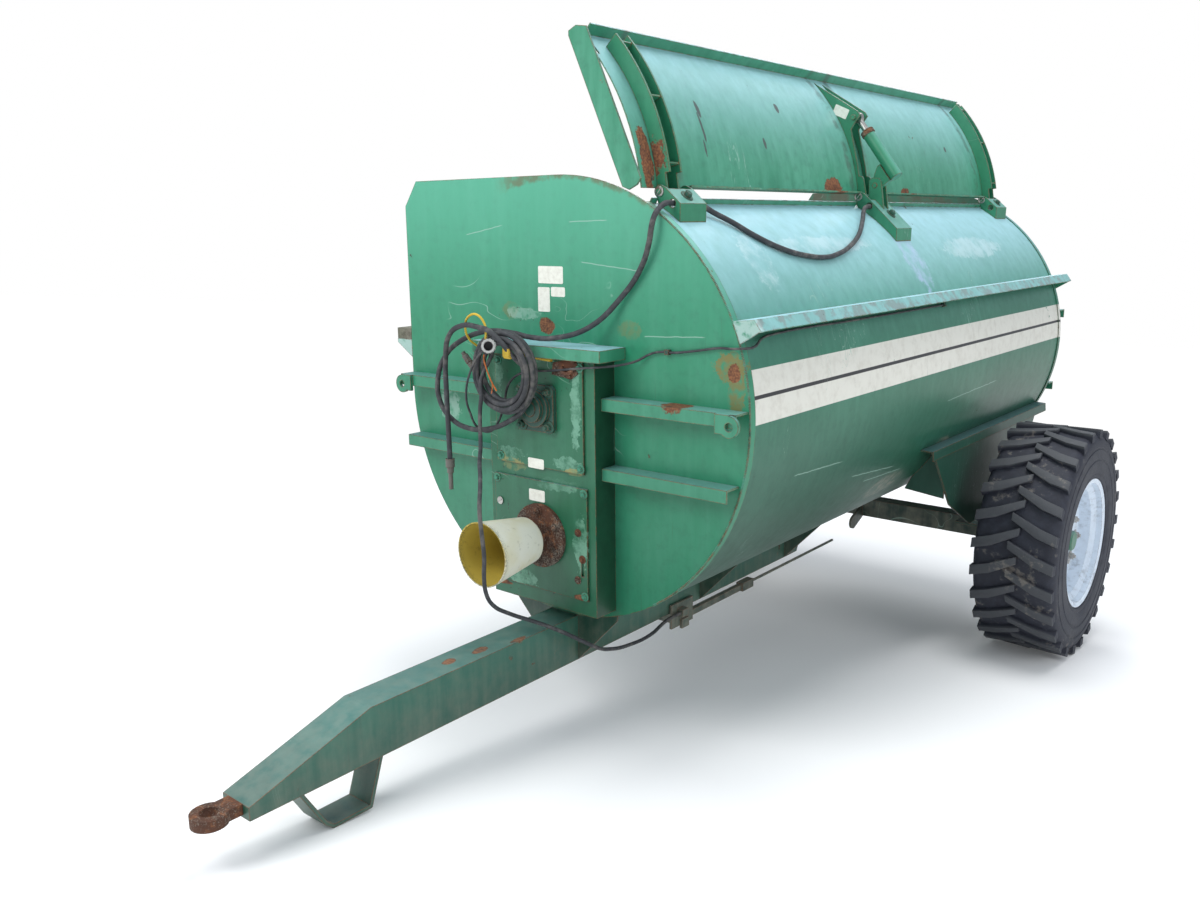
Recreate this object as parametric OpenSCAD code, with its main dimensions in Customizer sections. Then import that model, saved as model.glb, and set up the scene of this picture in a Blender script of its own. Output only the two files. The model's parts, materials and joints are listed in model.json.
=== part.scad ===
// Side-discharge manure spreader with a long round drum, a chain rotor, an opening lid and one axle.
// The machine is drawn level: X to its left, Y to its rear, Z up, with the drum's axis along Y
// and the front plate's face at Y = 0. parked() then tips it onto its wheels and its skid.

/* [Drum] */
// Outer radius of the end plates and of the drum at its rims
drum_r = 762; // [600:1:900]
// Length of the drum over its end plates
drum_len = 3072; // [2400:1:3600]
// Thickness of the drum's sheet
shell_t = 5; // [4:0.5:8]
// Thickness of an end plate
end_t = 8; // [6:0.5:12]
// Width of the rim turned back along the drum
rim_w = 28; // [15:1:50]
// Thickness of that rim
rim_t = 5; // [3:0.5:8]
// Cut across the square corner of an end plate, level and upright
corner_cut = [65, 90]; // [20:1:150]
// Height of the open side's wall above the drum's axis
wall_top = 165; // [80:1:300]
// Angles of the fixed top cover's lower and upper edge
cover_arc = [22, 61.5]; // [10:0.5:70]

/* [Lid] */
// Height of the lid's hinge pin above the drum's radius
hinge_rise = 33.5; // [25:0.5:60]
// Angle of the lid's hinge pin
hinge_angle = 61.6; // [55:0.1:70]
// Radius of the hinge pins
hinge_pin_r = 10; // [6:0.5:14]
// Gap between the closed lid's sheet and the drum's radius
lid_gap = 10; // [6:0.5:20]
// Thickness of the lid's sheet
lid_t = 4; // [3:0.5:6]
// Angles of the closed lid's hinge edge and free edge
lid_arc = [62.5, 103]; // [55:0.5:120]
// Angle up to which the lid's sheet runs on over the end plates
lid_over = 96; // [80:0.5:100]
// Angle that the lid stands open, as parked
lid_open = 56; // [30:1:80]
// Height of the ribs above the lid's sheet
rib_h = 54; // [35:1:80]
// Width of the straight bar across each end of the lid
end_bar_w = 76; // [50:1:100]

/* [Running gear] */
// Radius of a tyre to its lugs' tips
tyre_r = 525; // [450:1:620]
// Depth of a lug
lug_h = 24; // [15:1:35]
// Width of the tread over its lugs
tread_w = 350; // [300:1:420]
// Number of lugs in each of a tyre's two rows
lug_count = 26; // [16:1:32]
// Radius of a wheel rim over its flange
rim_r = 298; // [250:1:340]
// Distance from the centre plane to a wheel's outer face
wheel_out = 1185; // [1050:1:1350]
// Place of the axle behind the front plate and below the drum's axis
axle_at = [2270, -845]; // [-1000:1:2800]
// Side of the square axle beam
axle_w = 90; // [70:1:120]

/* [Drawbar] */
// Width and depth of the drawbar's box beam
beam = [125, 168]; // [80:1:240]
// Places of the beam's nose, of its kink and of its rear end along the machine
beam_y = [-1330, -920, 1620]; // [-1600:1:1900]
// Depth of the beam's nose
nose_h = 40; // [30:1:80]
// Thickness of the beam's walls
beam_wall = 8; // [6:0.5:12]
// Inner and outer radius of the towing eye
eye_r = [25, 50]; // [20:1:70]
// Thickness of the towing eye
eye_t = 32; // [20:1:45]
// Drop of the skid below the beam
skid_drop = 155; // [100:1:220]
// Width and thickness of the skid's flat bar
skid_bar = [100, 12]; // [8:1:140]

/* [Drive] */
// Half width and depth of the drive box, and height of its foot above the drum's lowest point
box_size = [240, 102, 61]; // [40:1:300]
// Level of the drive box's cap
cap_z = 205; // [150:1:260]
// Height of the input shaft below the drum's axis
input_z = -447; // [-520:1:-350]
// Radius of the input shaft
input_r = 17.5; // [15:0.5:22.5]
// Radius of the rotor's tube
rotor_r = 57; // [45:1:80]
// Length, width and thickness of a chain link
link = [100, 56, 14]; // [10:1:120]
// Number of chains on each side of the rotor
chain_count = 6; // [4:1:10]
// Number of links in a chain
link_count = 6; // [4:1:9]

/* [Ram] */
// Place of the ram's base pin beside and above the hinge pin
ram_foot = [47, 45]; // [20:1:100]
// Place of the ram's rod pin beside and above the hinge pin, with the lid open
ram_head = [-53, 320]; // [-120:1:400]
// Distance from the ram's base pin to the ram's own axis
ram_side = 85; // [60:1:110]
// Radius of the ram's barrel and of its rod
ram_r = [25, 13]; // [8:1:40]

/* [Hidden] */
$fn = 96;
drum_fn = 360;

// Colours of the finishes.
paint = "mediumseagreen";
dark_paint = "seagreen";
bare = "silver";
rusty = "sienna";
rubber = [0.1, 0.11, 0.14];

// Running fits and seats.
fit = 0.3;
pin_fit = 0.5;
shell_r = drum_r - rim_t;
deck_r = shell_r;
rear_y = drum_len;
lid_r = drum_r + lid_gap;
lid_out = lid_r + lid_t;
beam_top = -drum_r - fit;
box_low = -drum_r + box_size[2];
function polar(r, a) = r * [cos(a), sin(a)];
hinge_at = polar(drum_r + hinge_rise, hinge_angle);
ram_base = hinge_at + ram_foot;
ram_top = hinge_at + ram_head;

// Parked stance: the tyres and the skid's front bend touch one level floor.
skid_y = [-1165, -1085, -930, -880];
skid_bend_r = 30;
beam_low = beam_top - beam[1];
skid_low = beam_low - skid_drop;
skid_touch = [skid_y[1] + 12, skid_low + skid_bend_r];
stance = axle_at - skid_touch;
pitch = asin((tyre_r - skid_bend_r) / norm(stance)) - atan2(stance[1], stance[0]);

// Turns a level point [y, z] to the parked stance.
function tip_y(y, z) = y * cos(pitch) - z * sin(pitch);
function tip_z(y, z) = y * sin(pitch) + z * cos(pitch);
eye_y = beam_y[0] - 78;
eye_z = beam_low + nose_h / 2 + 6;
floor_z = tip_z(axle_at[0], axle_at[1]) - tyre_r;
front_end = tip_y(eye_y - eye_r[1], eye_z - eye_t / 2);
rear_rib_d = 70;
rear_end = tip_y(rear_y + rear_rib_d, -234);
mid_y = (front_end + rear_end) / 2;

// The level machine, tipped to its stance with its centre over the origin.
module parked() {
    translate([0, -mid_y, -floor_z])
        rotate([pitch, 0, 0])
            children();
}

// A profile drawn as X and Z, run along Y from y0 to y1.
module along(y0, y1) {
    translate([0, y1, 0])
        rotate([90, 0, 0])
            linear_extrude(y1 - y0)
                children();
}

// A profile drawn as Y and Z, run along X from x0 to x1.
module across(x0, x1) {
    translate([x0, 0, 0])
        rotate([90, 0, 90])
            linear_extrude(x1 - x0)
                children();
}

// A wedge that reaches past radius r, from angle a0 to a1.
module sector(r, a0, a1) {
    steps = ceil((a1 - a0) / 45);
    polygon(concat([[0, 0]], [for (i = [0 : steps]) 1.2 * r * [cos(a0 + (a1 - a0) * i / steps),
        sin(a0 + (a1 - a0) * i / steps)]]));
}

// A ring segment between two radii and two angles.
module ring_arc(r0, r1, a0, a1) {
    intersection() {
        difference() {
            circle(r1, $fn = drum_fn);
            circle(r0, $fn = drum_fn);
        }
        sector(r1, a0, a1);
    }
}

// A bar of width w between two points of a profile, with round ends.
module link_bar(a, b, w) {
    d = b - a;
    translate(a)
        rotate(atan2(d[1], d[0])) {
            translate([0, -w / 2])
                square([norm(d), w]);
            circle(w / 2);
            translate([norm(d), 0])
                circle(w / 2);
        }
}

// Drum
module drum_profile() {
    ring_arc(shell_r - shell_t, shell_r, 180, 360 + cover_arc[0]);
    translate([-shell_r, -1])
        square([shell_t, wall_top + 1]);
}

module drum_shell() {
    parked()
        color(paint)
            along(end_t, rear_y - end_t)
                drum_profile();
}

// Outline of an end plate: round, with one square corner cut across.
module end_outline() {
    circle(drum_r, $fn = drum_fn);
    polygon([[0, 0], [-drum_r, 0], [-drum_r, drum_r - corner_cut[1]],
        [-drum_r + corner_cut[0], drum_r], [0, drum_r]]);
}

module end_plate(y_face, y_inner) {
    rim_far = y_face + (y_inner > y_face ? rim_w : -rim_w);
    difference() {
        union() {
            along(min(y_face, y_inner), max(y_face, y_inner))
                end_outline();
            along(min(y_face, rim_far), max(y_face, rim_far))
                ring_arc(shell_r + fit / 2, drum_r, 180, 360 + cover_arc[1]);
        }
        translate([0, min(y_face, y_inner) - 1, 0])
            rotate([-90, 0, 0])
                cylinder(r = 40, h = end_t + 2);
    }
}

module front_plate() {
    parked()
        color(paint)
            end_plate(0, end_t);
}

module rear_plate() {
    parked()
        color(paint)
            end_plate(rear_y, rear_y - end_t);
}

// Fixed cover over the left shoulder, with its overhanging drip edge.
module top_cover() {
    edge_a = cover_arc[0] + 2;
    edge = shell_r * [cos(edge_a), sin(edge_a)];
    parked()
        color(paint) {
            along(end_t, rear_y - end_t)
                ring_arc(shell_r - shell_t, shell_r, cover_arc[0] + fit / 10, cover_arc[1]);
            along(-4, rear_y + 4)
                difference() {
                    polygon([edge + [-6, 7], edge + [77, 16], edge + [101, -18], edge + [96, -21],
                        edge + [74, 11], edge + [-6, 2]]);
                    circle(drum_r + fit, $fn = drum_fn);
                }
            for (y = [-4, rear_y - 2])
                along(y, y + 6)
                    difference() {
                        polygon([edge + [-6, 4], edge + [75, 13], edge + [98, -18], edge + [27, -61], edge + [-6, -40]]);
                        circle(drum_r + fit, $fn = drum_fn);
                    }
            along(rim_w + fit, rear_y - rim_w - fit)
                polygon([edge + [-4, 7], edge + [20, 9], edge + [20, 4], edge + [-4, 2]]);
            for (i = [0 : 3])
                along(i == 0 ? rim_w + fit : bracket_y[i - 1] + bracket_w / 2 + fit,
                    i == 3 ? rear_y - rim_w - fit : bracket_y[i] - bracket_w / 2 - fit)
                        rotate(cover_arc[1])
                            translate([shell_r - 1, -5])
                                square([19, 5]);
        }
}

// Flange along the open side's wall, with gussets below it.
lip_w = 83;
gusset_count = 5;
module side_lip() {
    parked()
        color(paint) {
            along(0, rear_y)
                translate([-drum_r - lip_w, wall_top + fit])
                    square([lip_w - fit, 6]);
            along(end_t, rear_y - end_t)
                translate([-drum_r - 1, wall_top + fit])
                    square([1 + rim_t + shell_t, 6]);
            for (i = [0 : gusset_count - 1]) {
                y = i * (rear_y - 6) / (gusset_count - 1);
                root = i == 0 || i == gusset_count - 1 ? -drum_r - fit : -shell_r - fit;
                along(y, y + 6)
                    polygon([[root, wall_top + 1], [-drum_r - lip_w, wall_top + 1],
                        [-drum_r - lip_w, wall_top - 8], [root, wall_top - 62]]);
            }
        }
}

rail_h = 42;
module side_rail() {
    parked()
        color("tan")
            along(0, rear_y)
                translate([-drum_r - lip_w + 2, wall_top + 6 + 2 * fit])
                    square([lip_w - 4, rail_h]);
}

// Lid brackets: an upturned channel on the cover, with the hinge pin between its cheeks.
bracket_w = 145;
bracket_y = [132, drum_len / 2 - 14, drum_len - 132];
rib_t = 8;
cheek_t = 8;
cheek_fit = 0.1;
knuckle_r = 20;
knuckle_fit = 0.3;

// Hole through each cheek where the ram's hose runs along the drum, beside and above the hinge pin.
hose_pass = [49, -38];
hose_pass_r = 13;

// Plate across a bracket's cheek, from its outline beside and above the hinge pin.
module cheek(outline) {
    difference() {
        union() {
            translate(hinge_at)
                polygon(outline);
            translate(hinge_at)
                circle(knuckle_r);
        }
        circle(deck_r + fit, $fn = drum_fn);
        translate(hinge_at)
            circle(hinge_pin_r + cheek_fit);
        translate(hinge_at + hose_pass)
            circle(hose_pass_r);
    }
}

// Both cheeks, the web between them and the hinge pin.
module bracket(y, outline, web) {
    half = bracket_w / 2;
    color(paint) {
        for (y0 = [y - half, y + half - cheek_t])
            along(y0, y0 + cheek_t)
                cheek(outline);
        along(y - half + cheek_t - 1, y + half - cheek_t + 1)
            difference() {
                translate(hinge_at)
                    polygon(web);
                circle(deck_r + fit, $fn = drum_fn);
            }
    }
    color(bare)
        translate([hinge_at[0], y - half - 6, hinge_at[1]])
            rotate([-90, 0, 0])
                cylinder(r = hinge_pin_r, h = bracket_w + 12);
}

module hinge_brackets() {
    parked()
        for (y = [bracket_y[0], bracket_y[2]])
            bracket(y, [[-12, -16], [6, 19], [22, 12], [80, -38], [77, -140], [17, -95]],
                [[27, 8], [80, -38], [77, -140], [71, -140], [71, -44], [23, 1]]);
}

// Middle bracket: the same hinge, a longer arm and the clevis of the ram.
clevis_in = 15;
clevis_t = 10;
module ram_arm() {
    y = bracket_y[1];
    parked() {
        bracket(y, [[-12, -16], [6, 19], [24, 12], [174, -129], [172, -230], [17, -95]],
            [[50, -13], [174, -129], [172, -230], [165, -230], [165, -135], [44, -19]]);
        color(paint)
            for (y0 = [y - clevis_in - clevis_t, y + clevis_in])
                along(y0, y0 + clevis_t)
                    difference() {
                        translate(ram_base)
                            polygon([[-25, -110], [-27, 20], [-13, 31], [15, 29], [27, 15], [45, -110]]);
                        circle(deck_r + fit, $fn = drum_fn);
                        translate(ram_base)
                            circle(hinge_pin_r + cheek_fit);
                    }
        color(paint)
            along(y - bracket_w / 2 + cheek_t - 1, y + bracket_w / 2 - cheek_t + 1)
                difference() {
                    translate(hinge_at)
                        polygon([[30, -80], [30, -24], [38, -24], [38, -80]]);
                    circle(deck_r + fit, $fn = drum_fn);
                }
        color(bare)
            translate([ram_base[0], y - clevis_in - clevis_t - 3, ram_base[1]])
                rotate([-90, 0, 0])
                    cylinder(r = hinge_pin_r, h = 2 * (clevis_in + clevis_t + 3));
    }
}

// Stiffening ribs across an end plate: angles with their lip turned down, and a lug at each far end.
rib_z = [48, -186];
rib_d = 70;
lug_x = drum_r - 27;
lug_hole_r = 13;

// One angle rib from x0 to x1, its flange against the plate's face at y_face.
module angle_rib(x0, x1, z, y_face, dir, drop) {
    y_far = y_face + dir * rib_d;
    translate([x0, min(y_face, y_far), z - 6])
        cube([x1 - x0, rib_d, 6]);
    translate([x0, dir < 0 ? y_far : y_far - 6, z - drop])
        cube([x1 - x0, 6, drop]);
}

module rib_lug(x, y0) {
    difference() {
        translate([x, y0, 12])
            rotate([-90, 0, 0])
                union() {
                    cylinder(r = 34, h = 12);
                    translate([x > 0 ? -50 : 0, -36, 0])
                        cube([50, 60, 12]);
                }
        translate([x, y0 - 1, 12])
            rotate([-90, 0, 0])
                cylinder(r = lug_hole_r, h = 14);
    }
}

module front_ribs() {
    ends = [drum_r * cos(asin(rib_z[0] / drum_r)) - 8, drum_r * cos(asin(rib_z[1] / drum_r)) - 14];
    parked()
        color(paint) {
            for (i = [0, 1], s = [-1, 1]) {
                x0 = s > 0 ? box_size[0] + fit : -ends[i];
                x1 = s > 0 ? ends[i] : -box_size[0] - fit;
                angle_rib(x0, x1, rib_z[i], 0, -1, 42);
            }
            for (s = [-1, 1])
                rib_lug(s * lug_x, -rib_d - 12);
        }
}

module rear_ribs() {
    ends = [drum_r * cos(asin(rib_z[0] / drum_r)) - 8, drum_r * cos(asin(rib_z[1] / drum_r)) - 14];
    parked()
        color(paint)
            for (i = [0, 1])
                angle_rib(-ends[i], ends[i], rib_z[i] + (i == 0 ? 90 : -60), rear_y, 1, 42);
}

// Drive box on the front plate
box_t = 6;
shaft_hole_r = 45;
input_hole_r = 60;
module drive_box() {
    w = box_size[0];
    d = box_size[1];
    parked()
        color(paint)
            difference() {
                translate([-w, -d, box_low])
                    cube([2 * w, d, cap_z - box_low]);
                translate([-w + box_t, -d + box_t, box_low + box_t])
                    cube([2 * (w - box_t), d - 2 * box_t, cap_z - box_low - 2 * box_t]);
                translate([0, -d - 1, 0])
                    rotate([-90, 0, 0])
                        cylinder(r = shaft_hole_r, h = d + 2);
                translate([0, -d - 1, input_z])
                    rotate([-90, 0, 0])
                        cylinder(r = input_hole_r, h = box_t + 4);
            }
}

cap_lip = 34;
module box_cap() {
    over = cap_over[0];
    front = -box_size[1] - cap_over[1];
    parked()
        color(paint) {
            translate([-box_size[0] - over, front, cap_z])
                cube([2 * (box_size[0] + over), -front, box_t]);
            translate([-box_size[0] - over, front, cap_z - cap_lip])
                cube([2 * (box_size[0] + over), box_t, cap_lip + 1]);
            for (s = [-1, 1])
                translate([s * (box_size[0] + over - box_t / 2) - box_t / 2, front, cap_z - cap_lip])
                    cube([box_t, -front, cap_lip + 1]);
        }
}

// Bolted panels on the box's front: the upper one round the rotor's shaft, the lower one round the input.
panel_t = 8;
panel_half = box_size[0] - 38;
panel_top = cap_z - cap_lip - 4;
panel_low = -panel_half - 6;
plate_half = box_size[0] - 22;
plate_drop = 200;
slot_size = [12, 70];
module box_panel() {
    parked()
        color(paint)
            along(-box_size[1] - panel_t, -box_size[1])
                difference() {
                    translate([-panel_half, panel_low])
                        square([2 * panel_half - 6, panel_top - panel_low]);
                    circle(shaft_hole_r);
                }
}

module box_plate() {
    parked()
        color(paint)
            along(-box_size[1] - panel_t, -box_size[1])
                difference() {
                    translate([-plate_half, input_z - plate_drop])
                        square([2 * plate_half - 10, 2 * plate_drop - 8]);
                    translate([0, input_z])
                        circle(input_hole_r);
                    for (s = [-1, 1])
                        translate([s * (plate_half - 32) - slot_size[0] / 2, input_z - 115])
                            square(slot_size);
                }
}

// Square four-bolt bearing with its bore for the rotor's shaft.
rotor_shaft_r = 25;
bearing_half = 80;
bearing_bolt = 60;
module flange_bearing(dir) {
    rotate([dir > 0 ? -90 : 90, 0, 0])
        difference() {
            union() {
                linear_extrude(16)
                    intersection() {
                        square(2 * bearing_half, center = true);
                        circle(1.3 * bearing_half);
                    }
                cylinder(r = 64, h = 30);
                cylinder(r = 46, h = 44);
            }
            translate([0, 0, -1])
                cylinder(r = rotor_shaft_r + pin_fit, h = 60);
            for (x = [-1, 1], y = [-1, 1])
                translate([x * bearing_bolt, y * bearing_bolt, -1])
                    cylinder(r = 8, h = 20);
        }
}

module front_bearing() {
    parked()
        color(dark_paint)
            translate([0, -box_size[1] - panel_t, 0])
                flange_bearing(-1);
}

module rear_bearing() {
    parked()
        color(dark_paint)
            translate([0, rear_y, 0])
                flange_bearing(1);
}

// Bearing housing of the input shaft: a bolted disc and a neck.
neck_out = 62;
module input_flange() {
    y0 = -box_size[1] - panel_t;
    parked()
        color(rusty)
            translate([0, y0, input_z])
                rotate([90, 0, 0])
                    difference() {
                        union() {
                            cylinder(r = 112, h = 14);
                            cylinder(r = 62, h = 26);
                            cylinder(r = 42, h = neck_out);
                        }
                        translate([0, 0, -1])
                            cylinder(r = input_r + 8 + fit, h = neck_out + 2);
                        for (i = [0 : 5])
                            rotate(60 * i + 30)
                                translate([90, 0, -1])
                                    cylinder(r = 7, h = 20);
                    }
}

// Splined stub that a drive shaft slides over.
stub_out = 170;
spline_count = 6;
spline_w = 8.6;
spline_h = 2.2;
spline_len = 76;
runout_w = 4;
module input_shaft() {
    y0 = -box_size[1] + 8;
    stub_len = stub_out + 8 + panel_t;
    parked()
        color(bare)
            translate([0, y0, input_z])
                rotate([90, 0, 0])
                    difference() {
                        union() {
                            cylinder(r = input_r + 8, h = panel_t + neck_out + 16);
                            cylinder(r = input_r, h = stub_len);
                        }
                        for (i = [0 : spline_count - 1])
                            rotate(360 / spline_count * i)
                                translate([input_r - spline_h, -spline_w / 2, stub_len - spline_len])
                                    cube([5, spline_w, spline_len + 1]);
                        translate([0, 0, stub_len - spline_len - runout_w])
                            difference() {
                                cylinder(r = input_r + 5, h = runout_w);
                                translate([0, 0, -1])
                                    cylinder(r = input_r - spline_h - 0.5, h = runout_w + 2);
                            }
                    }
}

// Tapered guard around the stub, open at the mouth.
guard_y = [-175, -398];
guard_r = [80, 110];
guard_t = 4;
module input_guard() {
    run = guard_y[0] - guard_y[1];
    parked()
        color("khaki")
            translate([0, guard_y[0], input_z])
                rotate([90, 0, 0])
                    rotate_extrude()
                        polygon([[42 + fit, -neck_out + 52], [42 + fit, -neck_out + 66], [guard_r[0] - 14, 14],
                            [guard_r[0] - guard_t, 26], [guard_r[1] - guard_t, run], [guard_r[1], run],
                            [guard_r[0], 14], [guard_r[0] - 12, 0], [48, -neck_out + 52]]);
}

// Drawbar
module beam_side() {
    polygon([[beam_y[0], beam_low], [beam_y[0], beam_low + nose_h], [beam_y[1], beam_top],
        [beam_y[2] - 60, beam_top], [beam_y[2], beam_low + 40], [beam_y[2] - 20, beam_low]]);
}

// Hollow of the box beam.
module beam_inside() {
    w = beam_wall;
    polygon([[beam_y[0] + w, beam_low + w], [beam_y[0] + w, beam_low + nose_h - w], [beam_y[1] + w / 4, beam_top - w],
        [beam_y[2] - 60, beam_top - w], [beam_y[2] - w, beam_low + 40], [beam_y[2] - 20 - w / 2, beam_low + w]]);
}

module drawbar() {
    half = beam[0] / 2;
    parked()
        color(paint) {
            difference() {
                across(-half, half)
                    beam_side();
                across(-half + beam_wall, half - beam_wall)
                    beam_inside();
            }
            translate([half - 1, beam_y[2] - 130, beam_low + 10])
                cube([9, 40, 60]);
        }
}

module tow_eye() {
    parked()
        color(rusty) {
            difference() {
                union() {
                    translate([0, eye_y, eye_z - eye_t / 2])
                        cylinder(r = eye_r[1], h = eye_t);
                    translate([-34, eye_y, eye_z - eye_t / 2])
                        cube([68, beam_y[0] - eye_y - fit, eye_t]);
                }
                translate([0, eye_y, eye_z - eye_t])
                    cylinder(r = eye_r[0], h = 2 * eye_t);
            }
        }
}

// Skid that the drawbar stands on: one flat bar bent to a shallow loop.
module skid() {
    t = skid_bar[1];
    half = skid_bar[0] / 2;
    low = skid_low + t / 2;
    top = beam_low - 0.1;
    parked()
        color(paint)
            across(-half, half)
                difference() {
                    union() {
                        link_bar([skid_y[0], top], [skid_y[1] - 4, low + 22], t);
                        link_bar([skid_y[1] - 4, low + 22], [skid_y[1] + 22, low], t);
                        link_bar([skid_y[1] + 22, low], [skid_y[2], low], t);
                        link_bar([skid_y[2], low], [skid_y[3], top], t);
                    }
                    translate([skid_y[0] - 50, top])
                        square([400, 40]);
                }
}

// Cross plates that seat the drum on the beam.
beam_saddle_y = [4, beam_y[2] - 840, beam_y[2] - 140];
cradle_a = 20;
module beam_saddles() {
    half = beam[0] / 2;
    parked()
        color(paint)
            for (y = beam_saddle_y, s = [-1, 1])
                along(y, y + 10)
                    difference() {
                        polygon([[s * (half + fit), beam_low], [s * (half + fit), beam_top + beam[1] / 3],
                            polar(drum_r - 30, -90 + s * cradle_a), polar(drum_r + 20, -90 + s * (cradle_a - 2))]);
                        circle((y < rim_w ? drum_r : shell_r) + fit, $fn = drum_fn);
                    }
}

// Saddles that carry the drum on the axle: a folded ledge along the drum, a side plate and two webs.
saddle_x = drum_r - 62;
saddle_t = 8;
ledge_z = -drum_r * 0.453;
ledge_out = 26;
ledge_fold = 44;
ledge_y = [axle_at[0] - 740, drum_len - 32];
web_z = axle_at[1] + 205;
module saddle(s) {
    t = saddle_t;
    ends = [axle_at[0] - 700, axle_at[0] + 700];
    knees = [axle_at[0] - 470, axle_at[0] + 470];
    foot = [axle_at[0] - 200, axle_at[0] + 200];
    foot_z = axle_at[1] + axle_w / 2;
    root_x = sqrt(pow(shell_r + fit, 2) - pow(ledge_z, 2));
    color(paint) {
        along(ledge_y[0], ledge_y[1])
            difference() {
                polygon([[s * (root_x - 20), ledge_z], [s * (saddle_x + ledge_out), ledge_z - 4],
                    [s * (saddle_x + ledge_out + 4), ledge_z - ledge_fold],
                    [s * (saddle_x + ledge_out - 2), ledge_z - ledge_fold],
                    [s * (saddle_x + ledge_out - 6), ledge_z - 10], [s * (root_x - 20), ledge_z - 6]]);
                circle(shell_r + fit, $fn = drum_fn);
            }
        translate([s * (saddle_x + t / 2), 0, 0])
            across(-t / 2, t / 2)
                polygon([[ends[0], ledge_z - 5], [ends[1], ledge_z - 5], [knees[1], web_z], [foot[1], foot_z + 11],
                    [foot[0], foot_z + 11], [knees[0], web_z]]);
        for (y = [knees[0] - 60, knees[1] + 60 - t])
            along(y, y + t)
                difference() {
                    polygon([[s * (saddle_x - 60), ledge_z - 8], [s * (saddle_x + 1), ledge_z - 8],
                        [s * (saddle_x + 1), web_z + 40], [s * (saddle_x - 180), web_z + 60]]);
                    circle(shell_r + fit, $fn = drum_fn);
                }
        translate([s > 0 ? saddle_x - 60 : -saddle_x - 80, foot[0], foot_z])
            cube([140, foot[1] - foot[0], 12]);
    }
}

module saddles() {
    parked()
        for (s = [-1, 1])
            saddle(s);
}

// Axle: a square bar with a round stub at each end. Places are measured inward from a wheel's outer face.
stub_r = 30;
stub_in = 125;
beam_in = 300;
module axle() {
    end_x = wheel_out - beam_in;
    parked()
        color(dark_paint)
            translate([0, axle_at[0], axle_at[1]]) {
                translate([-end_x, -axle_w / 2, -axle_w / 2])
                    cube([2 * end_x, axle_w, axle_w - fit]);
                translate([-wheel_out + stub_in, 0, 0])
                    rotate([0, 90, 0])
                        cylinder(r = stub_r, h = 2 * (wheel_out - stub_in));
                across(axle_w - 6, axle_w + 6)
                    link_bar([-axle_w / 2 - 90, -62], [-20, -10], 64);
            }
}

// Back plates of the brakes, with the lever of each cam.
module brakes() {
    parked()
        color("dimgray")
            for (s = [-1, 1])
                translate([s * (wheel_out - beam_in), axle_at[0], axle_at[1]])
                    rotate([0, s * 90, 0])
                        difference() {
                            cylinder(r = 165, h = 8);
                            translate([0, 0, -1])
                                cylinder(r = stub_r + fit, h = 10);
                        }
}

// Parking brake: a ratchet lever folded up below the beam. Columns: left and right side, front and rear end,
// lowest and highest level, from the beam's left side, its drum end and its low side.
brake_y = 560;
brake_parts = [
    [4, 14, 0, 150, -62, 38],
    [-94, 8, 30, 90, -50, -2],
    [-28, -6, 80, 640, -60, -34],
    [-34, 0, 560, 650, -66, -28],
    [13, 41, 40, 80, -16, 14],
    [12, 24, 60, 110, -74, -36],
];
module handbrake() {
    parked()
        color("dimgray")
            for (part = brake_parts)
                translate([beam[0] / 2 + part[0], brake_y + part[2], beam_low + part[4]])
                    cube([part[1] - part[0], part[3] - part[2], part[5] - part[4]]);
}

module brake_rod() {
    y0 = brake_y + brake_parts[3][3];
    y1 = axle_at[0] - 270;
    parked()
        color("dimgray")
            translate([beam[0] / 2 - 17, y0, beam_low - 47])
                rotate([-90, 0, 0])
                    cylinder(r = 6, h = y1 - y0);
}

// Hook that carries the wound hose, on the front of the drive box's cap
coil_at = [-75, -192, 122];
coil_r = 115;
coil_tube = 29;
cap_over = [46, 30];
hook_w = 30;
hook_side = 45;
module hose_hook() {
    y0 = -box_size[1] - cap_over[1];
    y1 = coil_at[1] - coil_tube - 8;
    x0 = coil_at[0] + hook_side - hook_w / 2;
    z0 = coil_at[2] + sqrt(pow(coil_r - coil_tube, 2) - pow(hook_side + hook_w / 2, 2)) - fit;
    parked()
        color(paint)
            across(x0, x0 + hook_w)
                polygon([[y0, z0 - 10], [y0, z0], [y1 + 8, z0], [y1 + 4, z0 + 24], [y1, z0 + 24], [y1, z0 - 2],
                    [y1 + 8, z0 - 10]]);
}

// Clips of the lamp cable: one on the front plate that it runs through, one under the drip edge at its end.
clip_at = [460, -9, 208];
clip_end = [716, 1560, 262];
module cable_clips() {
    parked()
        color("dimgray") {
            across(clip_at[0] - 8, clip_at[0] + 8)
                difference() {
                    translate([-15, clip_at[2] - 8])
                        square([15, 16]);
                    translate([clip_at[1], clip_at[2]])
                        circle(cable_r + fit);
                }
            along(clip_end[1] + fit, clip_end[1] + 18)
                rotate(atan2(clip_end[2], clip_end[0]))
                    translate([shell_r + fit, -8])
                        square([14, 16]);
        }
}

// Swept tubes: a ring of sides at each point of a route, square to the route.
function unit(v) = v / norm(v);
function tangent(p, i) = unit(p[min(i + 1, len(p) - 1)] - p[max(i - 1, 0)]);
function across_dir(t) = unit(cross(t, abs(t[2]) < 0.9 ? [0, 0, 1] : [0, 1, 0]));
function bent_ring(c, t, u, r, sides) = [for (k = [0 : sides - 1])
    c + r * (cos(360 * k / sides) * u + sin(360 * k / sides) * cross(t, u))];
function carried(u, t) = unit(u - (u * t) * t);
function frames(p, i, u) = i >= len(p) ? [] : let (v = carried(u, tangent(p, i))) concat([v], frames(p, i + 1, v));

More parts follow.
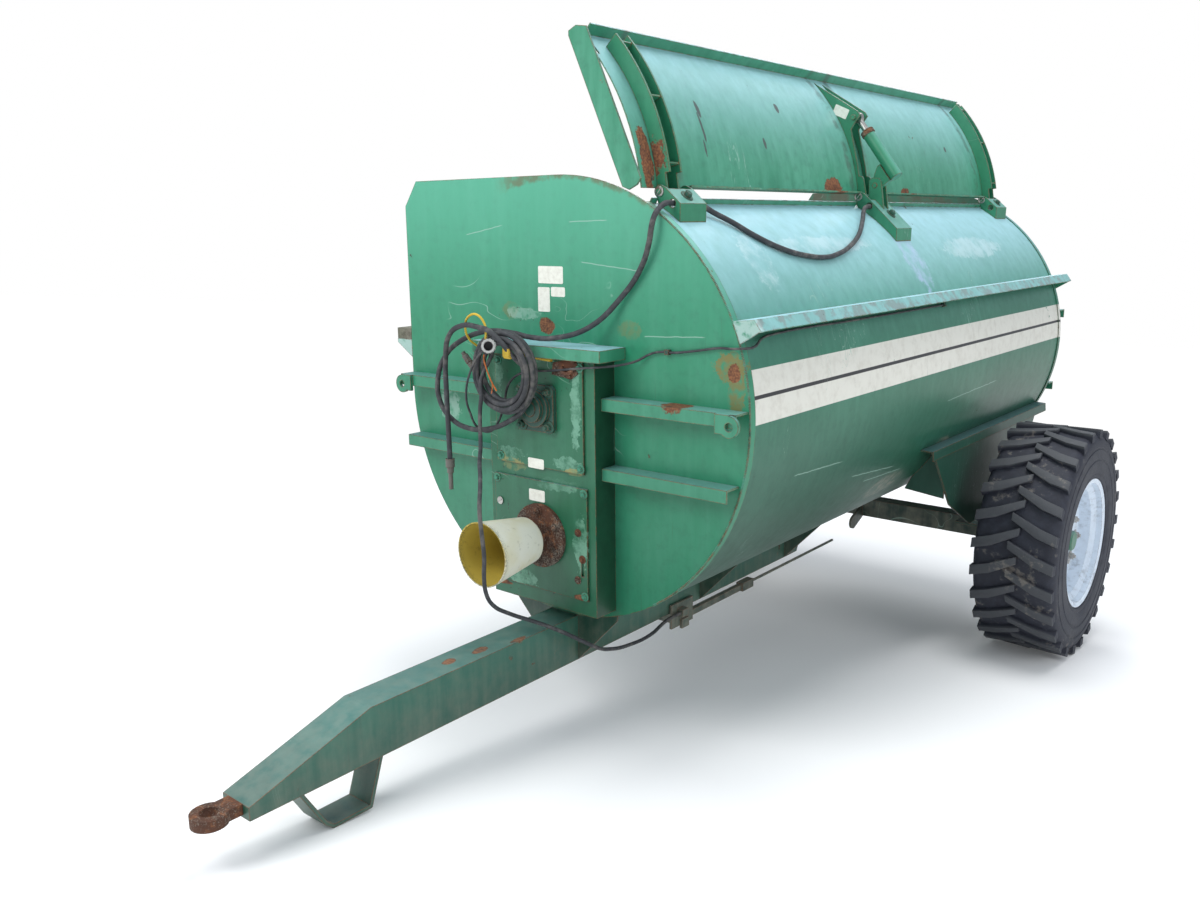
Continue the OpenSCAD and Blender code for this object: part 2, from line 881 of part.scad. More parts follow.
// Smooth curve through the points of a route, with n steps between two points.
function curve_at(a, b, c, d, t) = 0.5 * ((2 * b) + (c - a) * t + (2 * a - 5 * b + 4 * c - d) * t * t
    + (3 * b - a - 3 * c + d) * t * t * t);
function curve_pts(p, n) = concat([for (i = [0 : len(p) - 2], k = [0 : n - 1])
    curve_at(p[max(i - 1, 0)], p[i], p[i + 1], p[min(i + 2, len(p) - 1)], k / n)], [p[len(p) - 1]]);

module tube(p, r, sides) {
    us = frames(p, 0, across_dir(tangent(p, 0)));
    rings = [for (i = [0 : len(p) - 1]) bent_ring(p[i], tangent(p, i), us[i], r, sides)];
    points = [for (ring = rings, q = ring) q];
    n = len(p);
    walls = [for (i = [0 : n - 2], k = [0 : sides - 1])
        [i * sides + k, i * sides + (k + 1) % sides, (i + 1) * sides + (k + 1) % sides, (i + 1) * sides + k]];
    polyhedron(points, concat(walls, [[for (k = [sides - 1 : -1 : 0]) k]], [[for (k = [0 : sides - 1]) (n - 1) * sides + k]]));
}

// Routes of the hoses and of the cable.
hose_r = 9;
brake_hose_r = 7;
cable_r = 4;
ram_hose_route = [[-104, -198, 0], [-160, -206, -72], [-250, -206, -86], [-330, -204, -62], [-388, -202, -4],
    [-398, -198, 76], [-362, -190, 158], [-284, -176, 218], [-180, -158, 250], [-75, -150, 250], [10, -148, 240],
    [90, -122, 240], [180, -60, 272], [286, -18, 373], [366, -18, 470], [400, -25, 542],
    [412, -29, 588], [417, -27, 612], [421, -17, 634], [424, 1, 651], [426, 24, 662], [427, 44, 664],
    [427, 62, 663], [427, 204, 662], [444, 270, 633], [478, 325, 603], [522, 385, 562], [567, 487, 517],
    [590, 610, 490], [599, 767, 479], [593, 859, 487], [578, 963, 504], [540, 1127, 548], [482, 1279, 604],
    [438, 1386, 652], [428, 1449, 661], [427, 1496.5, 662]];
hose_tail_route = [[-70, -206, 240], [-150, -222, 266], [-232, -228, 272], [-298, -228, 236], [-324, -226, 150],
    [-326, -226, 40], [-324, -226, -80], [-322, -226, -200]];
brake_hose_route = [[-150, -206, 45], [-154, -226, -10], [-150, -238, -66], [-128, -262, -122], [-75, -320, -160],
    [0, -392, -205], [36, -434, -285], [48, -440, -352], [54, -438, -430], [46, -434, -510], [42, -424, -560],
    [36, -390, -612], [36, -310, -668], [66, -215, -720], [110, -150, -760], [146, -60, -822], [152, 9, -866],
    [135, 90, -902], [105, 240, -945], [95, 400, -955], [90, 500, -935], [90, 560, -931], [90, 599.5, -931]];
light_cable_route = [[-69, -261, 217], [-90, -240, 212], [-128, -236, 194], [-188, -234, 130], [-228, -226, 30],
    [-232, -206, -30], [-218, -184, -84], [-188, -162, -98], [-158, -148, -66], [-136, -138, 0], [-108, -135, 78],
    [-40, -126, 120], [40, -122, 128], [120, -122, 138], [190, -122, 148], [262, -108, 156], [305, -60, 160],
    [345, -20, 172], [395, -9, 198], [440, -9, 208], [480, -9, 208], [570, -9, 220], [655, -9, 234],
    [700, -14, 235], [728, -10, 237], [746, 8, 238], [748, 34, 240], [738, 70, 246], [722, 120, 256],
    [716, 200, 262], [716, 800, 262], [716, 1560, 262]];

module ram_hose() {
    parked()
        color(rubber)
            tube(curve_pts(ram_hose_route, 2), hose_r, 8);
}

module hose_coil() {
    parked()
        color(rubber)
            translate(coil_at)
                rotate([90, 0, 0])
                    rotate_extrude()
                        translate([coil_r, 0])
                            circle(r = coil_tube, $fn = 24);
}

module hose_tail() {
    parked()
        color(rubber)
            tube(curve_pts(hose_tail_route, 2), hose_r, 8);
}

module hose_coupler() {
    parked()
        color(bare)
            translate(hose_tail_route[len(hose_tail_route) - 1])
                rotate([180, 0, 0]) {
                    cylinder(r = 12, h = 50);
                    cylinder(r = 16, h = 30);
                    cylinder(r = 8, h = 110);
                }
}

module brake_hose() {
    parked()
        color(rubber)
            tube(curve_pts(brake_hose_route, 2), brake_hose_r, 8);
}

module light_cable() {
    parked()
        color(rubber)
            tube(curve_pts(light_cable_route, 2), cable_r, 8);
}

// Plug of the lamp cable, hung in front of the coil with its open face outward.
plug_r = 19;
plug_turn = [84, 0, 39];
module light_plug() {
    parked()
        color("dimgray")
            translate(light_cable_route[0])
                rotate(plug_turn)
                    difference() {
                        cylinder(r = plug_r, h = 46);
                        translate([0, 0, 22])
                            cylinder(r = plug_r - 4, h = 30);
                    }
}

// Rotor: a tube on two stub shafts, with lugs for the chains.
tube_y = [end_t + 30, drum_len - end_t - 30];
chain_x = rotor_r + 38;
chain_pitch = (tube_y[1] - tube_y[0] - 260) / (2 * chain_count - 1);
chain_lug_t = 12;
chain_hole_r = link[2] / 2 + 3.5;
function chain_y(i, side) = tube_y[0] + 130 + chain_pitch * (2 * i + side);

module rotor_tube() {
    shaft_front = -box_size[1] - panel_t - 46;
    parked() {
        color(dark_paint)
            translate([0, tube_y[0], 0])
                rotate([-90, 0, 0])
                    cylinder(r = rotor_r, h = tube_y[1] - tube_y[0]);
        color(bare)
            translate([0, shaft_front, 0])
                rotate([-90, 0, 0])
                    cylinder(r = rotor_shaft_r, h = rear_y + 46 - shaft_front);
        color(dark_paint)
            for (i = [0 : chain_count - 1], side = [0, 1]) {
                s = side == 0 ? 1 : -1;
                along(chain_y(i, side) - chain_lug_t / 2, chain_y(i, side) + chain_lug_t / 2)
                    difference() {
                        union() {
                            translate([s * chain_x, 0])
                                circle(28);
                            translate([s > 0 ? rotor_r - 10 : -chain_x, -28])
                                square([chain_x - rotor_r + 10, 56]);
                        }
                        translate([s * chain_x, 0])
                            circle(chain_hole_r);
                    }
            }
    }
}

// Outline of a link: a long octagon of length l and width w.
module link_outline(l, w) {
    cut = w / 4;
    polygon([[-w / 2, -l / 2 + cut], [-w / 2 + cut, -l / 2], [w / 2 - cut, -l / 2], [w / 2, -l / 2 + cut],
        [w / 2, l / 2 - cut], [w / 2 - cut, l / 2], [-w / 2 + cut, l / 2], [-w / 2, l / 2 - cut]]);
}

module chain_link() {
    wire = link[2];
    along(-wire / 2, wire / 2)
        difference() {
            link_outline(link[0], link[1]);
            square([link[1] - 2 * wire, link[0] - 2 * wire], center = true);
        }
}

module rotor_chains() {
    wire = link[2];
    inner = link[0] - 2 * wire;
    hang = sqrt(pow(chain_hole_r, 2) - pow(wire / 2, 2)) - fit;
    parked()
        color(rusty)
            for (i = [0 : chain_count - 1], side = [0, 1], k = [0 : link_count - 1])
                translate([(side == 0 ? 1 : -1) * chain_x, chain_y(i, side), -hang - inner / 2 - k * (inner - fit)])
                    rotate([0, 0, k % 2 == 0 ? 90 : 0])
                        chain_link();
}

// Lid, drawn closed and swung about its hinge pin to the open pose.
module lid_pose() {
    parked()
        translate([hinge_at[0], 0, hinge_at[1]])
            rotate([0, lid_open, 0])
                translate([-hinge_at[0], 0, -hinge_at[1]])
                    children();
}

bar_t = 6;
bar_gap = 6;
lid_y = [-bar_gap + fit, drum_len + bar_gap - fit];
tuck = end_t + 5;
lid_flange = 38;

// Stretches of the lid's hinge edge that run free of the brackets.
module hinge_edge() {
    half = bracket_w / 2 + 6;
    for (i = [0, 1])
        along(bracket_y[i] + half, bracket_y[i + 1] - half)
            rotate(lid_arc[0])
                translate([lid_r, 0])
                    square([lid_flange + lid_t, 6]);
}

module lid_skin() {
    lid_pose()
        color(paint) {
            along(lid_y[0], lid_y[1])
                ring_arc(lid_r, lid_out, lid_arc[0], lid_over);
            along(tuck, drum_len - tuck)
                ring_arc(lid_r, lid_out, lid_over - 1, lid_arc[1]);
            along(tuck, drum_len - tuck)
                rotate(lid_arc[1])
                    translate([lid_r, -6])
                        square([lid_flange + lid_t, 6]);
            hinge_edge();
        }
}

// Profile of a curved rib with its knuckle round the hinge pin.
module rib_profile() {
    difference() {
        union() {
            ring_arc(lid_out, lid_out + rib_h, lid_arc[0] + 3, lid_arc[1] - 4);
            translate(hinge_at)
                circle(knuckle_r);
            link_bar(hinge_at, polar(lid_out + 20, lid_arc[0] + 6), 2 * knuckle_r - 4);
        }
        circle(lid_out + fit, $fn = drum_fn);
        translate(hinge_at)
            circle(hinge_pin_r + knuckle_fit);
    }
}

rib_pair = 60;
rib_shift = 22;
module lid_ribs() {
    lid_pose()
        color(paint)
            for (y = [bracket_y[0] - rib_shift, bracket_y[2] + rib_shift]) {
                for (y0 = [y - rib_pair / 2 - rib_t / 2, y + rib_pair / 2 - rib_t / 2])
                    along(y0, y0 + rib_t)
                        rib_profile();
                for (a = [lid_arc[0] + 5, (lid_arc[0] + lid_arc[1]) / 2, lid_arc[1] - 6])
                    along(y - rib_pair / 2 + rib_t / 2 - 1, y + rib_pair / 2 - rib_t / 2 + 1)
                        rotate(a)
                            translate([lid_out + 2, -3])
                                square([rib_h - 6, 6]);
            }
}

// Twin plates in the middle that the ram pulls on, drawn as on the closed lid.
function lid_closed(p) = hinge_at + [cos(lid_open) * (p - hinge_at)[0] - sin(lid_open) * (p - hinge_at)[1],
    sin(lid_open) * (p - hinge_at)[0] + cos(lid_open) * (p - hinge_at)[1]];
rod_eye = lid_closed(ram_top);
lever_pair = 70;

module lever_plate() {
    difference() {
        union() {
            polygon([polar(lid_out - 2, 101.5), rod_eye + [-12, 26], rod_eye + [9, 26], rod_eye + [20, -5],
                rod_eye + [33, -35], polar(lid_out + 16, 70.9), polar(lid_out + 12, 65), polar(lid_out - 30, 66),
                polar(lid_out - 30, 84), polar(lid_out - 30, 100)]);
            translate(hinge_at)
                circle(knuckle_r);
            link_bar(hinge_at, polar(lid_out + 14, lid_arc[0] + 4), 2 * knuckle_r - 4);
        }
        circle(lid_out + fit, $fn = drum_fn);
        translate(hinge_at)
            circle(hinge_pin_r + knuckle_fit);
        translate(rod_eye)
            circle(hinge_pin_r + cheek_fit);
    }
}

module lid_lever() {
    y = bracket_y[1];
    lid_pose() {
        color(paint)
            for (y0 = [y - lever_pair / 2 - rib_t / 2, y + lever_pair / 2 - rib_t / 2])
                along(y0, y0 + rib_t)
                    lever_plate();
        color(bare)
            translate([rod_eye[0], y - lever_pair / 2 - 14, rod_eye[1]])
                rotate([-90, 0, 0])
                    cylinder(r = hinge_pin_r, h = lever_pair + 28);
    }
}

// Straight bars across the lid's ends, each folded along its length.
module lid_end_bars() {
    a = polar(lid_r - 24, 106);
    b = polar(lid_r - 60, 62);
    d = (b - a) / norm(b - a);
    n = [-d[1], d[0]];
    lid_pose()
        color(paint)
            for (y = [-bar_gap - bar_t, drum_len + bar_gap])
                along(y, y + bar_t)
                    polygon([a + 6 * n, a + 14 * d, b - 20 * d, b + 20 * n, b + 55 * n,
                        b + end_bar_w * n - 12 * d, a + end_bar_w * n + 24 * d, a + 40 * n]);
}

// Ram that holds the lid
ram_dir = unit(ram_top - ram_base);
ram_len = norm(ram_top - ram_base);
ram_turn = atan2(ram_dir[1], ram_dir[0]) + asin(ram_side / ram_len);
ram_run = sqrt(pow(ram_len, 2) - pow(ram_side, 2));

// Frame of the ram: its base pin at the origin, its own axis along X at ram_side.
module ram_pose() {
    parked()
        translate([ram_base[0], bracket_y[1], ram_base[1]])
            rotate([0, -ram_turn, 0])
                children();
}

barrel_x = [-24, 212];
module ram_cylinder() {
    ram_pose()
        translate([0, 0, -ram_side]) {
            color(paint)
                difference() {
                    translate([barrel_x[0], 0, 0])
                        rotate([0, 90, 0])
                            cylinder(r = ram_r[0], h = barrel_x[1] - barrel_x[0]);
                    translate([barrel_x[0] + 12, 0, 0])
                        rotate([0, 90, 0])
                            cylinder(r = ram_r[1] + pin_fit, h = 400);
                }
            color(paint)
                translate([0, 14, 0])
                    rotate([90, 0, 0])
                        linear_extrude(28)
                            difference() {
                                polygon([[-20, 86], [-20, 25], [60, 25], [60, 40], [22, 92], [12, 105], [-12, 105]]);
                                translate([0, ram_side])
                                    circle(hinge_pin_r + pin_fit / 2);
                                circle(ram_r[0] - 2);
                            }
            color(rusty)
                difference() {
                    translate([barrel_x[1] - 22, 0, 0])
                        rotate([0, 90, 0])
                            cylinder(r = ram_r[0] + 1, h = 22);
                    translate([barrel_x[0] + 12, 0, 0])
                        rotate([0, 90, 0])
                            cylinder(r = ram_r[1] + pin_fit, h = 400);
                }
        }
}

module ram_rod() {
    ram_pose()
        translate([0, 0, -ram_side])
            color(bare)
                difference() {
                    union() {
                        translate([barrel_x[0] + 60, 0, 0])
                            rotate([0, 90, 0])
                                cylinder(r = ram_r[1], h = ram_run - barrel_x[0] - 60 - 12);
                        translate([ram_run, 12, 0])
                            rotate([90, 0, 0])
                                cylinder(r = 22, h = 24);
                    }
                    translate([ram_run, 14, 0])
                        rotate([90, 0, 0])
                            cylinder(r = hinge_pin_r + pin_fit / 2, h = 28);
                }
}

// Wheels: the profile of each is drawn as radius and distance inward from the outer face.
module wheel_pose(s) {
    parked()
        translate([s * wheel_out, axle_at[0], axle_at[1]])
            rotate([0, -s * 90, 0])
                children();
}

// Hub with the brake drum behind it and the cap in front.
disc_in = 98;
module hub(s) {
    wheel_pose(s)
        color(paint)
            rotate_extrude()
                polygon([[0, disc_in - 36], [40, disc_in - 36], [46, disc_in - 30], [46, disc_in - fit], [58, disc_in - fit],
                    [58, disc_in + 8], [120, disc_in + 8 + fit], [120, disc_in + 26], [62, disc_in + 30],
                    [62, beam_in - 90], [150, beam_in - 84], [150, beam_in - 10], [138, beam_in - 10],
                    [138, beam_in - 72], [stub_r + knuckle_fit, beam_in - 72], [stub_r + knuckle_fit, stub_in - 4],
                    [0, stub_in - 4]]);
}

module hub_left() {
    hub(1);
}

module hub_right() {
    hub(-1);
}

// Wheel rim: a dished disc welded into the rim's well.
module rim(s) {
    wheel_pose(s)
        color("gainsboro")
            rotate_extrude()
                polygon([[58 + fit, disc_in], [130, disc_in], [150, disc_in + 12], [190, disc_in + 40], [225, disc_in + 44],
                    [254, disc_in + 22], [262, 60], [rim_r - 14, 40], [rim_r - 14, 24], [rim_r, 18], [rim_r, 10],
                    [rim_r - 22, 16], [rim_r - 24, 40], [250, 60], [244, disc_in + 14], [222, disc_in + 34],
                    [194, disc_in + 30], [156, disc_in + 4], [134, disc_in - 8], [58 + fit, disc_in - 8]]);
}

// Tyre: an open carcass whose beads sit on the rim, with two staggered rows of bent lugs.
tyre_w = 358;
lug_half = 60;
lug_top = sqrt(pow(tyre_r, 2) - pow(lug_half, 2));
lug_pitch = 360 / lug_count;
// Outline of a lug. Columns: way in from the tread's edge as a share of its width, place along the tread.
lug_shape = [[0, -lug_half], [0.24, -36], [0.56, 26], [0.56, lug_half], [0.22, 8], [0, -16]];

// Turn of the lugs that stands a corner of one on the floor.
function lug_turn(s) = (s > 0 ? 180 + pitch : -pitch) + asin(lug_half / tyre_r);

module lug_row(turn, flip) {
    edge = (tyre_w - tread_w) / 2;
    for (i = [0 : lug_count - 1])
        rotate(turn + i * lug_pitch)
            translate([lug_top - lug_h - 22, 0, flip ? tyre_w : 0])
                rotate([0, 90, 0])
                    linear_extrude(lug_h + 22)
                        polygon([for (q = lug_shape) [(flip ? 1 : -1) * (edge + q[0] * tread_w), q[1]]]);
}

module tyre(s) {
    w = tyre_w;
    wheel_pose(s)
        color(rubber) {
            rotate_extrude()
                polygon([[rim_r + fit, 20], [rim_r + 4, 8], [rim_r + 90, 0], [tyre_r - 60, 2], [tyre_r - lug_h, 18],
                    [tyre_r - lug_h, w - 18], [tyre_r - 60, w - 2], [rim_r + 90, w], [rim_r + 4, w - 8],
                    [rim_r + fit, w - 20], [rim_r - 22, w - 34], [rim_r - 22, w - 52], [rim_r + 30, w - 40],
                    [tyre_r - lug_h - 24, w - 46], [tyre_r - lug_h - 24, 46], [rim_r + 30, 40],
                    [rim_r - 12 + fit, 52], [rim_r - 12 + fit, 26]]);
            lug_row(lug_turn(s), false);
            lug_row(lug_turn(s) + lug_pitch / 2, true);
        }
}

module rim_left() {
    rim(1);
}

module tyre_left() {
    tyre(1);
}

module rim_right() {
    rim(-1);
}

module tyre_right() {
    tyre(-1);
}

drum_shell();
front_plate();
rear_plate();
top_cover();
side_lip();
side_rail();
hinge_brackets();
ram_arm();
front_ribs();
rear_ribs();
drive_box();
box_cap();
box_panel();
box_plate();
front_bearing();
rear_bearing();
input_flange();
input_shaft();
input_guard();
drawbar();
tow_eye();
skid();
beam_saddles();
saddles();
axle();
brakes();
handbrake();
brake_rod();
hose_hook();
cable_clips();
ram_hose();
hose_coil();
hose_tail();
hose_coupler();
brake_hose();
light_cable();
light_plug();
rotor_tube();
rotor_chains();
lid_skin();
lid_ribs();
lid_lever();
lid_end_bars();
ram_cylinder();
ram_rod();
hub_left();
rim_left();
tyre_left();
hub_right();
rim_right();
tyre_right();
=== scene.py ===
"""Looks of a parked manure spreader with its lid up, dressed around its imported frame. Lengths are metres."""

import json
import math
from contextlib import contextmanager

import bpy
from mathutils import Matrix, Vector


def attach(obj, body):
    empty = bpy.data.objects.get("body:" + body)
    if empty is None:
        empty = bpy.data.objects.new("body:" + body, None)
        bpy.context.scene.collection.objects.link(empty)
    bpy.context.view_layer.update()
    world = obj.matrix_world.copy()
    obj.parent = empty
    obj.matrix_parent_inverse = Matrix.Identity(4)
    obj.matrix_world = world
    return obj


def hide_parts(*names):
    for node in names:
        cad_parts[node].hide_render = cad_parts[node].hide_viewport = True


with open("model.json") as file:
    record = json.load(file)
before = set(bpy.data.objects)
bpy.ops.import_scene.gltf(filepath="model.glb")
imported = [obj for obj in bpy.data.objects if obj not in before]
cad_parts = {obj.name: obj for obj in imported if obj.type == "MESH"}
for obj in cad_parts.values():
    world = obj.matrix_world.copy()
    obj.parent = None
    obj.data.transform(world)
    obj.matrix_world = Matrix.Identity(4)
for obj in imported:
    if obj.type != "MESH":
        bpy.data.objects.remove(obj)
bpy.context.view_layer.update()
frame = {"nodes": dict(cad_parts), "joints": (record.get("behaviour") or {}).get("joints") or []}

# The level machine: X to its left, Y to its rear, Z up, from the drum's axis at the front plate.
JOINTS = {joint["name"]: joint for joint in frame["joints"]}
AXIS = Vector(JOINTS["rotor_spin"]["axis"])
PITCH = math.atan2(AXIS.z, AXIS.y)
PARKED = Matrix.Translation(JOINTS["rotor_spin"]["pos_m"]) @ Matrix.Rotation(PITCH, 4, "X")
LEVEL = PARKED.inverted()


def joint_at(name):
    """Where a joint turns, on the level machine."""
    return LEVEL @ Vector(JOINTS[name]["pos_m"])


# Places on the level machine: the box panels' face and the input shaft
FACE = -0.110
INPUT_Z = -0.447
# The lid's hinge pin in X and Z, its brackets along the machine and half a pin's length
HINGE = (0.3784, 0.6997)
BRACKETS = (0.132, 1.522, 2.940)
PIN_END = 0.0728
# The wheels' axis, and their outer faces' distance from the middle
HUB_Y, HUB_Z = joint_at("wheel_left_spin").yz
WHEEL_OUT = 1.185
# The label on the lid's lever with its lean, and the light plug's collar with the way it points
LEVER_LABEL = (0.2665, 1.4830, 1.0455)
LEVER_LEAN = -0.43
PLUG_COLLAR = (-0.0502, -0.2842, 0.2201)
PLUG_WAY = (0.626, -0.773, 0.105)
# The ram: its pins, its barrel's radius and how far its axis stands off the pins
RAM_BASE = (0.4254, 0.7447)
RAM_TOP = (0.3254, 1.0197)
RAM_R = 0.025
RAM_SIDE = 0.085

# Camera at the photograph's viewpoint.
CAMERA_AT = Vector((2.359, -2.647, 0.606))
CAMERA_LOOK = Vector((-0.6216, 0.7537, -0.2134))
CAMERA_ROLL = math.radians(-0.578)
CAMERA_LENS = 31.233


def make_camera():
    lens = bpy.data.cameras.new("camera")
    lens.lens = CAMERA_LENS
    lens.sensor_width = 36
    lens.clip_end = 200
    camera = bpy.data.objects.new("camera", lens)
    bpy.context.scene.collection.objects.link(camera)
    turn = CAMERA_LOOK.to_track_quat("-Z", "Y").to_matrix().to_4x4()
    camera.matrix_world = PARKED @ Matrix.Translation(CAMERA_AT) @ turn @ Matrix.Rotation(CAMERA_ROLL, 4, "Z")
    bpy.context.scene.camera = camera


make_camera()


def at(*place):
    """A point of the level machine as it stands in the scene."""
    return PARKED @ Vector(place)


# Cords. Their routes run from where each leaves the machine, in metres of the level machine.
HOSE_ROUTE = [
    (0.427, 1.4965, 0.662), (0.428, 1.449, 0.661), (0.438, 1.386, 0.652), (0.482, 1.279, 0.604),
    (0.540, 1.127, 0.548), (0.578, 0.963, 0.504), (0.593, 0.859, 0.487), (0.599, 0.767, 0.479),
    (0.590, 0.610, 0.490), (0.567, 0.487, 0.517), (0.522, 0.385, 0.562), (0.478, 0.325, 0.603),
    (0.444, 0.270, 0.633), (0.427, 0.204, 0.662), (0.427, 0.062, 0.663), (0.427, 0.044, 0.664),
    (0.426, 0.024, 0.662), (0.424, 0.001, 0.651), (0.421, -0.017, 0.634), (0.417, -0.027, 0.612),
    (0.412, -0.029, 0.588), (0.400, -0.025, 0.542), (0.366, -0.018, 0.470), (0.286, -0.018, 0.373),
    (0.180, -0.060, 0.272), (0.090, -0.122, 0.240), (0.010, -0.148, 0.240), (-0.075, -0.150, 0.250),
    (-0.180, -0.158, 0.250), (-0.284, -0.176, 0.218), (-0.362, -0.190, 0.158), (-0.398, -0.198, 0.076),
    (-0.388, -0.202, -0.004), (-0.330, -0.203, -0.062), (-0.250, -0.201, -0.086), (-0.160, -0.192, -0.080),
    (-0.080, -0.181, -0.050), (-0.005, -0.177, 0.004),
]
TAIL_ROUTE = [
    (-0.150, -0.229, 0.270), (-0.232, -0.228, 0.272), (-0.298, -0.228, 0.236), (-0.324, -0.226, 0.150),
    (-0.326, -0.226, 0.040), (-0.324, -0.226, -0.080), (-0.322, -0.226, -0.200),
]
BRAKE_ROUTE = [
    (0.090, 0.5995, -0.931), (0.090, 0.560, -0.931), (0.090, 0.500, -0.935), (0.095, 0.400, -0.955),
    (0.105, 0.240, -0.945), (0.135, 0.090, -0.902), (0.152, 0.009, -0.866), (0.146, -0.060, -0.822),
    (0.110, -0.150, -0.760), (0.066, -0.215, -0.720), (0.036, -0.310, -0.668), (0.036, -0.390, -0.612),
    (0.042, -0.424, -0.560), (0.046, -0.434, -0.510), (0.054, -0.438, -0.430), (0.048, -0.440, -0.352),
    (0.036, -0.434, -0.285), (0.000, -0.392, -0.205), (-0.075, -0.320, -0.160), (-0.128, -0.262, -0.122),
    (-0.152, -0.238, -0.066), (-0.158, -0.230, -0.010),
]
CABLE_ROUTE = [
    (0.716, 1.560, 0.262), (0.716, 0.800, 0.262), (0.716, 0.200, 0.262), (0.722, 0.120, 0.256),
    (0.738, 0.070, 0.246), (0.748, 0.034, 0.240), (0.746, 0.008, 0.238), (0.728, -0.010, 0.237),
    (0.700, -0.014, 0.235), (0.655, -0.009, 0.234), (0.570, -0.009, 0.220), (0.480, -0.009, 0.208),
    (0.440, -0.009, 0.208), (0.395, -0.009, 0.198), (0.345, -0.020, 0.172), (0.305, -0.060, 0.160),
    (0.262, -0.108, 0.156), (0.190, -0.122, 0.148), (0.120, -0.122, 0.138), (0.040, -0.122, 0.128),
    (-0.040, -0.126, 0.120), (-0.108, -0.135, 0.078), (-0.136, -0.138, 0.000), (-0.158, -0.148, -0.066),
    (-0.188, -0.162, -0.098), (-0.218, -0.184, -0.084), (-0.232, -0.206, -0.030), (-0.228, -0.226, 0.030),
    (-0.188, -0.234, 0.130), (-0.128, -0.236, 0.194), (-0.090, -0.240, 0.212), (-0.069, -0.261, 0.217),
]

# The wound coil: its middle, the radius of its ring and how far its strands lie from the ring's middle
COIL_AT = (-0.075, -0.192, 0.122)
COIL_R = 0.115
STRAND_R = 0.0185
STRANDS = 6
HOSE_TURNS = (-15, 1440)
STEP = 20
# Where the hose leaves the coil and the brake hose winds on to it: angle round the coil, radius, place along Y
HOSE_OFF = [(15, 0.0905, -0.190), (30, 0.083, -0.198), (45, 0.084, -0.211), (60, 0.093, -0.222),
            (75, 0.107, -0.229), (90, 0.124, -0.231), (102, 0.143, -0.230)]
BRAKE_ON = [(226, 0.107, -0.230), (205, 0.092, -0.223), (185, 0.081, -0.211), (165, 0.079, -0.196),
            (145, 0.084, -0.184)]
BRAKE_TURN = (120, -120)
BRAKE_OFF = [(-140, 0.112, -0.170), (-158, 0.132, -0.166), (-172, 0.155, -0.168), (-182, 0.176, -0.172)]


def round_coil(angle, radius, y):
    """A point at an angle round the coil, seen from the front."""
    turn = math.radians(angle)
    return (COIL_AT[0] + radius * math.cos(turn), y, COIL_AT[2] + radius * math.sin(turn))


def strand(angle, slot=0):
    """A point of one of the coil's strands, which twist round each other by one place a turn."""
    twist = math.radians(44.5 - (angle + 360 * slot) / STRANDS)
    return round_coil(angle, COIL_R + STRAND_R * math.cos(twist), COIL_AT[1] + STRAND_R * math.sin(twist))


def wound_hose():
    """The hose's whole route: along the drum, round the coil and down to its coupler."""
    turns = [strand(angle) for angle in range(HOSE_TURNS[0], HOSE_TURNS[1], STEP)]
    return HOSE_ROUTE + turns + [round_coil(*stop) for stop in HOSE_OFF] + TAIL_ROUTE


def wound_brake_hose():
    """The brake hose's route: from the beam in front of the guard, round the coil the other way."""
    start, end = BRAKE_TURN
    turn = []
    for angle in range(start, end, -STEP):
        over = min(max((100 - angle) / 70, 0), 1)
        turn.append(strand(angle, 4 + over if angle > 0 else 5))
    return BRAKE_ROUTE + [round_coil(*stop) for stop in BRAKE_ON] + turn + [round_coil(*stop) for stop in BRAKE_OFF]


def route_length(route):
    return sum((Vector(b) - Vector(a)).length for a, b in zip(route, route[1:]))


# Modelling. A piece is shaped as it stands on the level machine, or on a part of it, and then parked.
def alone(*pieces):
    """Selects those pieces and nothing else."""
    bpy.ops.object.select_all(action="DESELECT")
    for piece in pieces:
        piece.select_set(True)
    bpy.context.view_layer.objects.active = pieces[0]


def started(add, **settings):
    """A primitive, added with nothing else selected."""
    bpy.ops.object.select_all(action="DESELECT")
    add(**settings)
    return bpy.context.object


@contextmanager
def editing(piece):
    """Edit mode on one piece, all of it selected."""
    alone(piece)
    bpy.ops.object.mode_set(mode="EDIT")
    bpy.ops.mesh.select_all(action="SELECT")
    yield
    bpy.ops.object.mode_set(mode="OBJECT")


def pick(piece, kind, test):
    """In edit mode, selects only what passes a test of its middle and, for a face, its normal."""
    bpy.ops.mesh.select_mode(type=kind)
    bpy.ops.mesh.select_all(action="DESELECT")
    bpy.ops.object.mode_set(mode="OBJECT")
    mesh = piece.data
    if kind == "FACE":
        for face in mesh.polygons:
            face.select = test(face.center, face.normal)
    elif kind == "VERT":
        for vertex in mesh.vertices:
            vertex.select = test(vertex.co)
    else:
        for edge in mesh.edges:
            edge.select = test((mesh.vertices[edge.vertices[0]].co + mesh.vertices[edge.vertices[1]].co) / 2)
    bpy.ops.object.mode_set(mode="EDIT")


def joined(name, pieces):
    """Several pieces made one."""
    alone(*pieces)
    if len(pieces) > 1:
        bpy.ops.object.join()
    piece = bpy.context.view_layer.objects.active
    piece.name = name
    return piece


def settled(piece):
    """Puts a piece's place, turn and size into its mesh."""
    alone(piece)
    bpy.ops.object.transform_apply(location=True, rotation=True, scale=True)
    return piece


def parked(piece, body, frame_of=Matrix(), sharp=32):
    """Stands a finished piece on the parked machine, moving with one of its bodies."""
    piece.matrix_world = PARKED @ frame_of @ piece.matrix_world
    settled(piece)
    bpy.ops.object.shade_smooth_by_angle(angle=math.radians(sharp))
    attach(piece, body)
    return piece


def facing(place, way, turn=0.0):
    """Stands something that points up so that it points another way, at a place."""
    aim = Vector(way).to_track_quat("Z", "Y").to_matrix().to_4x4()
    return Matrix.Translation(place) @ aim @ Matrix.Rotation(turn, 4, "Z")


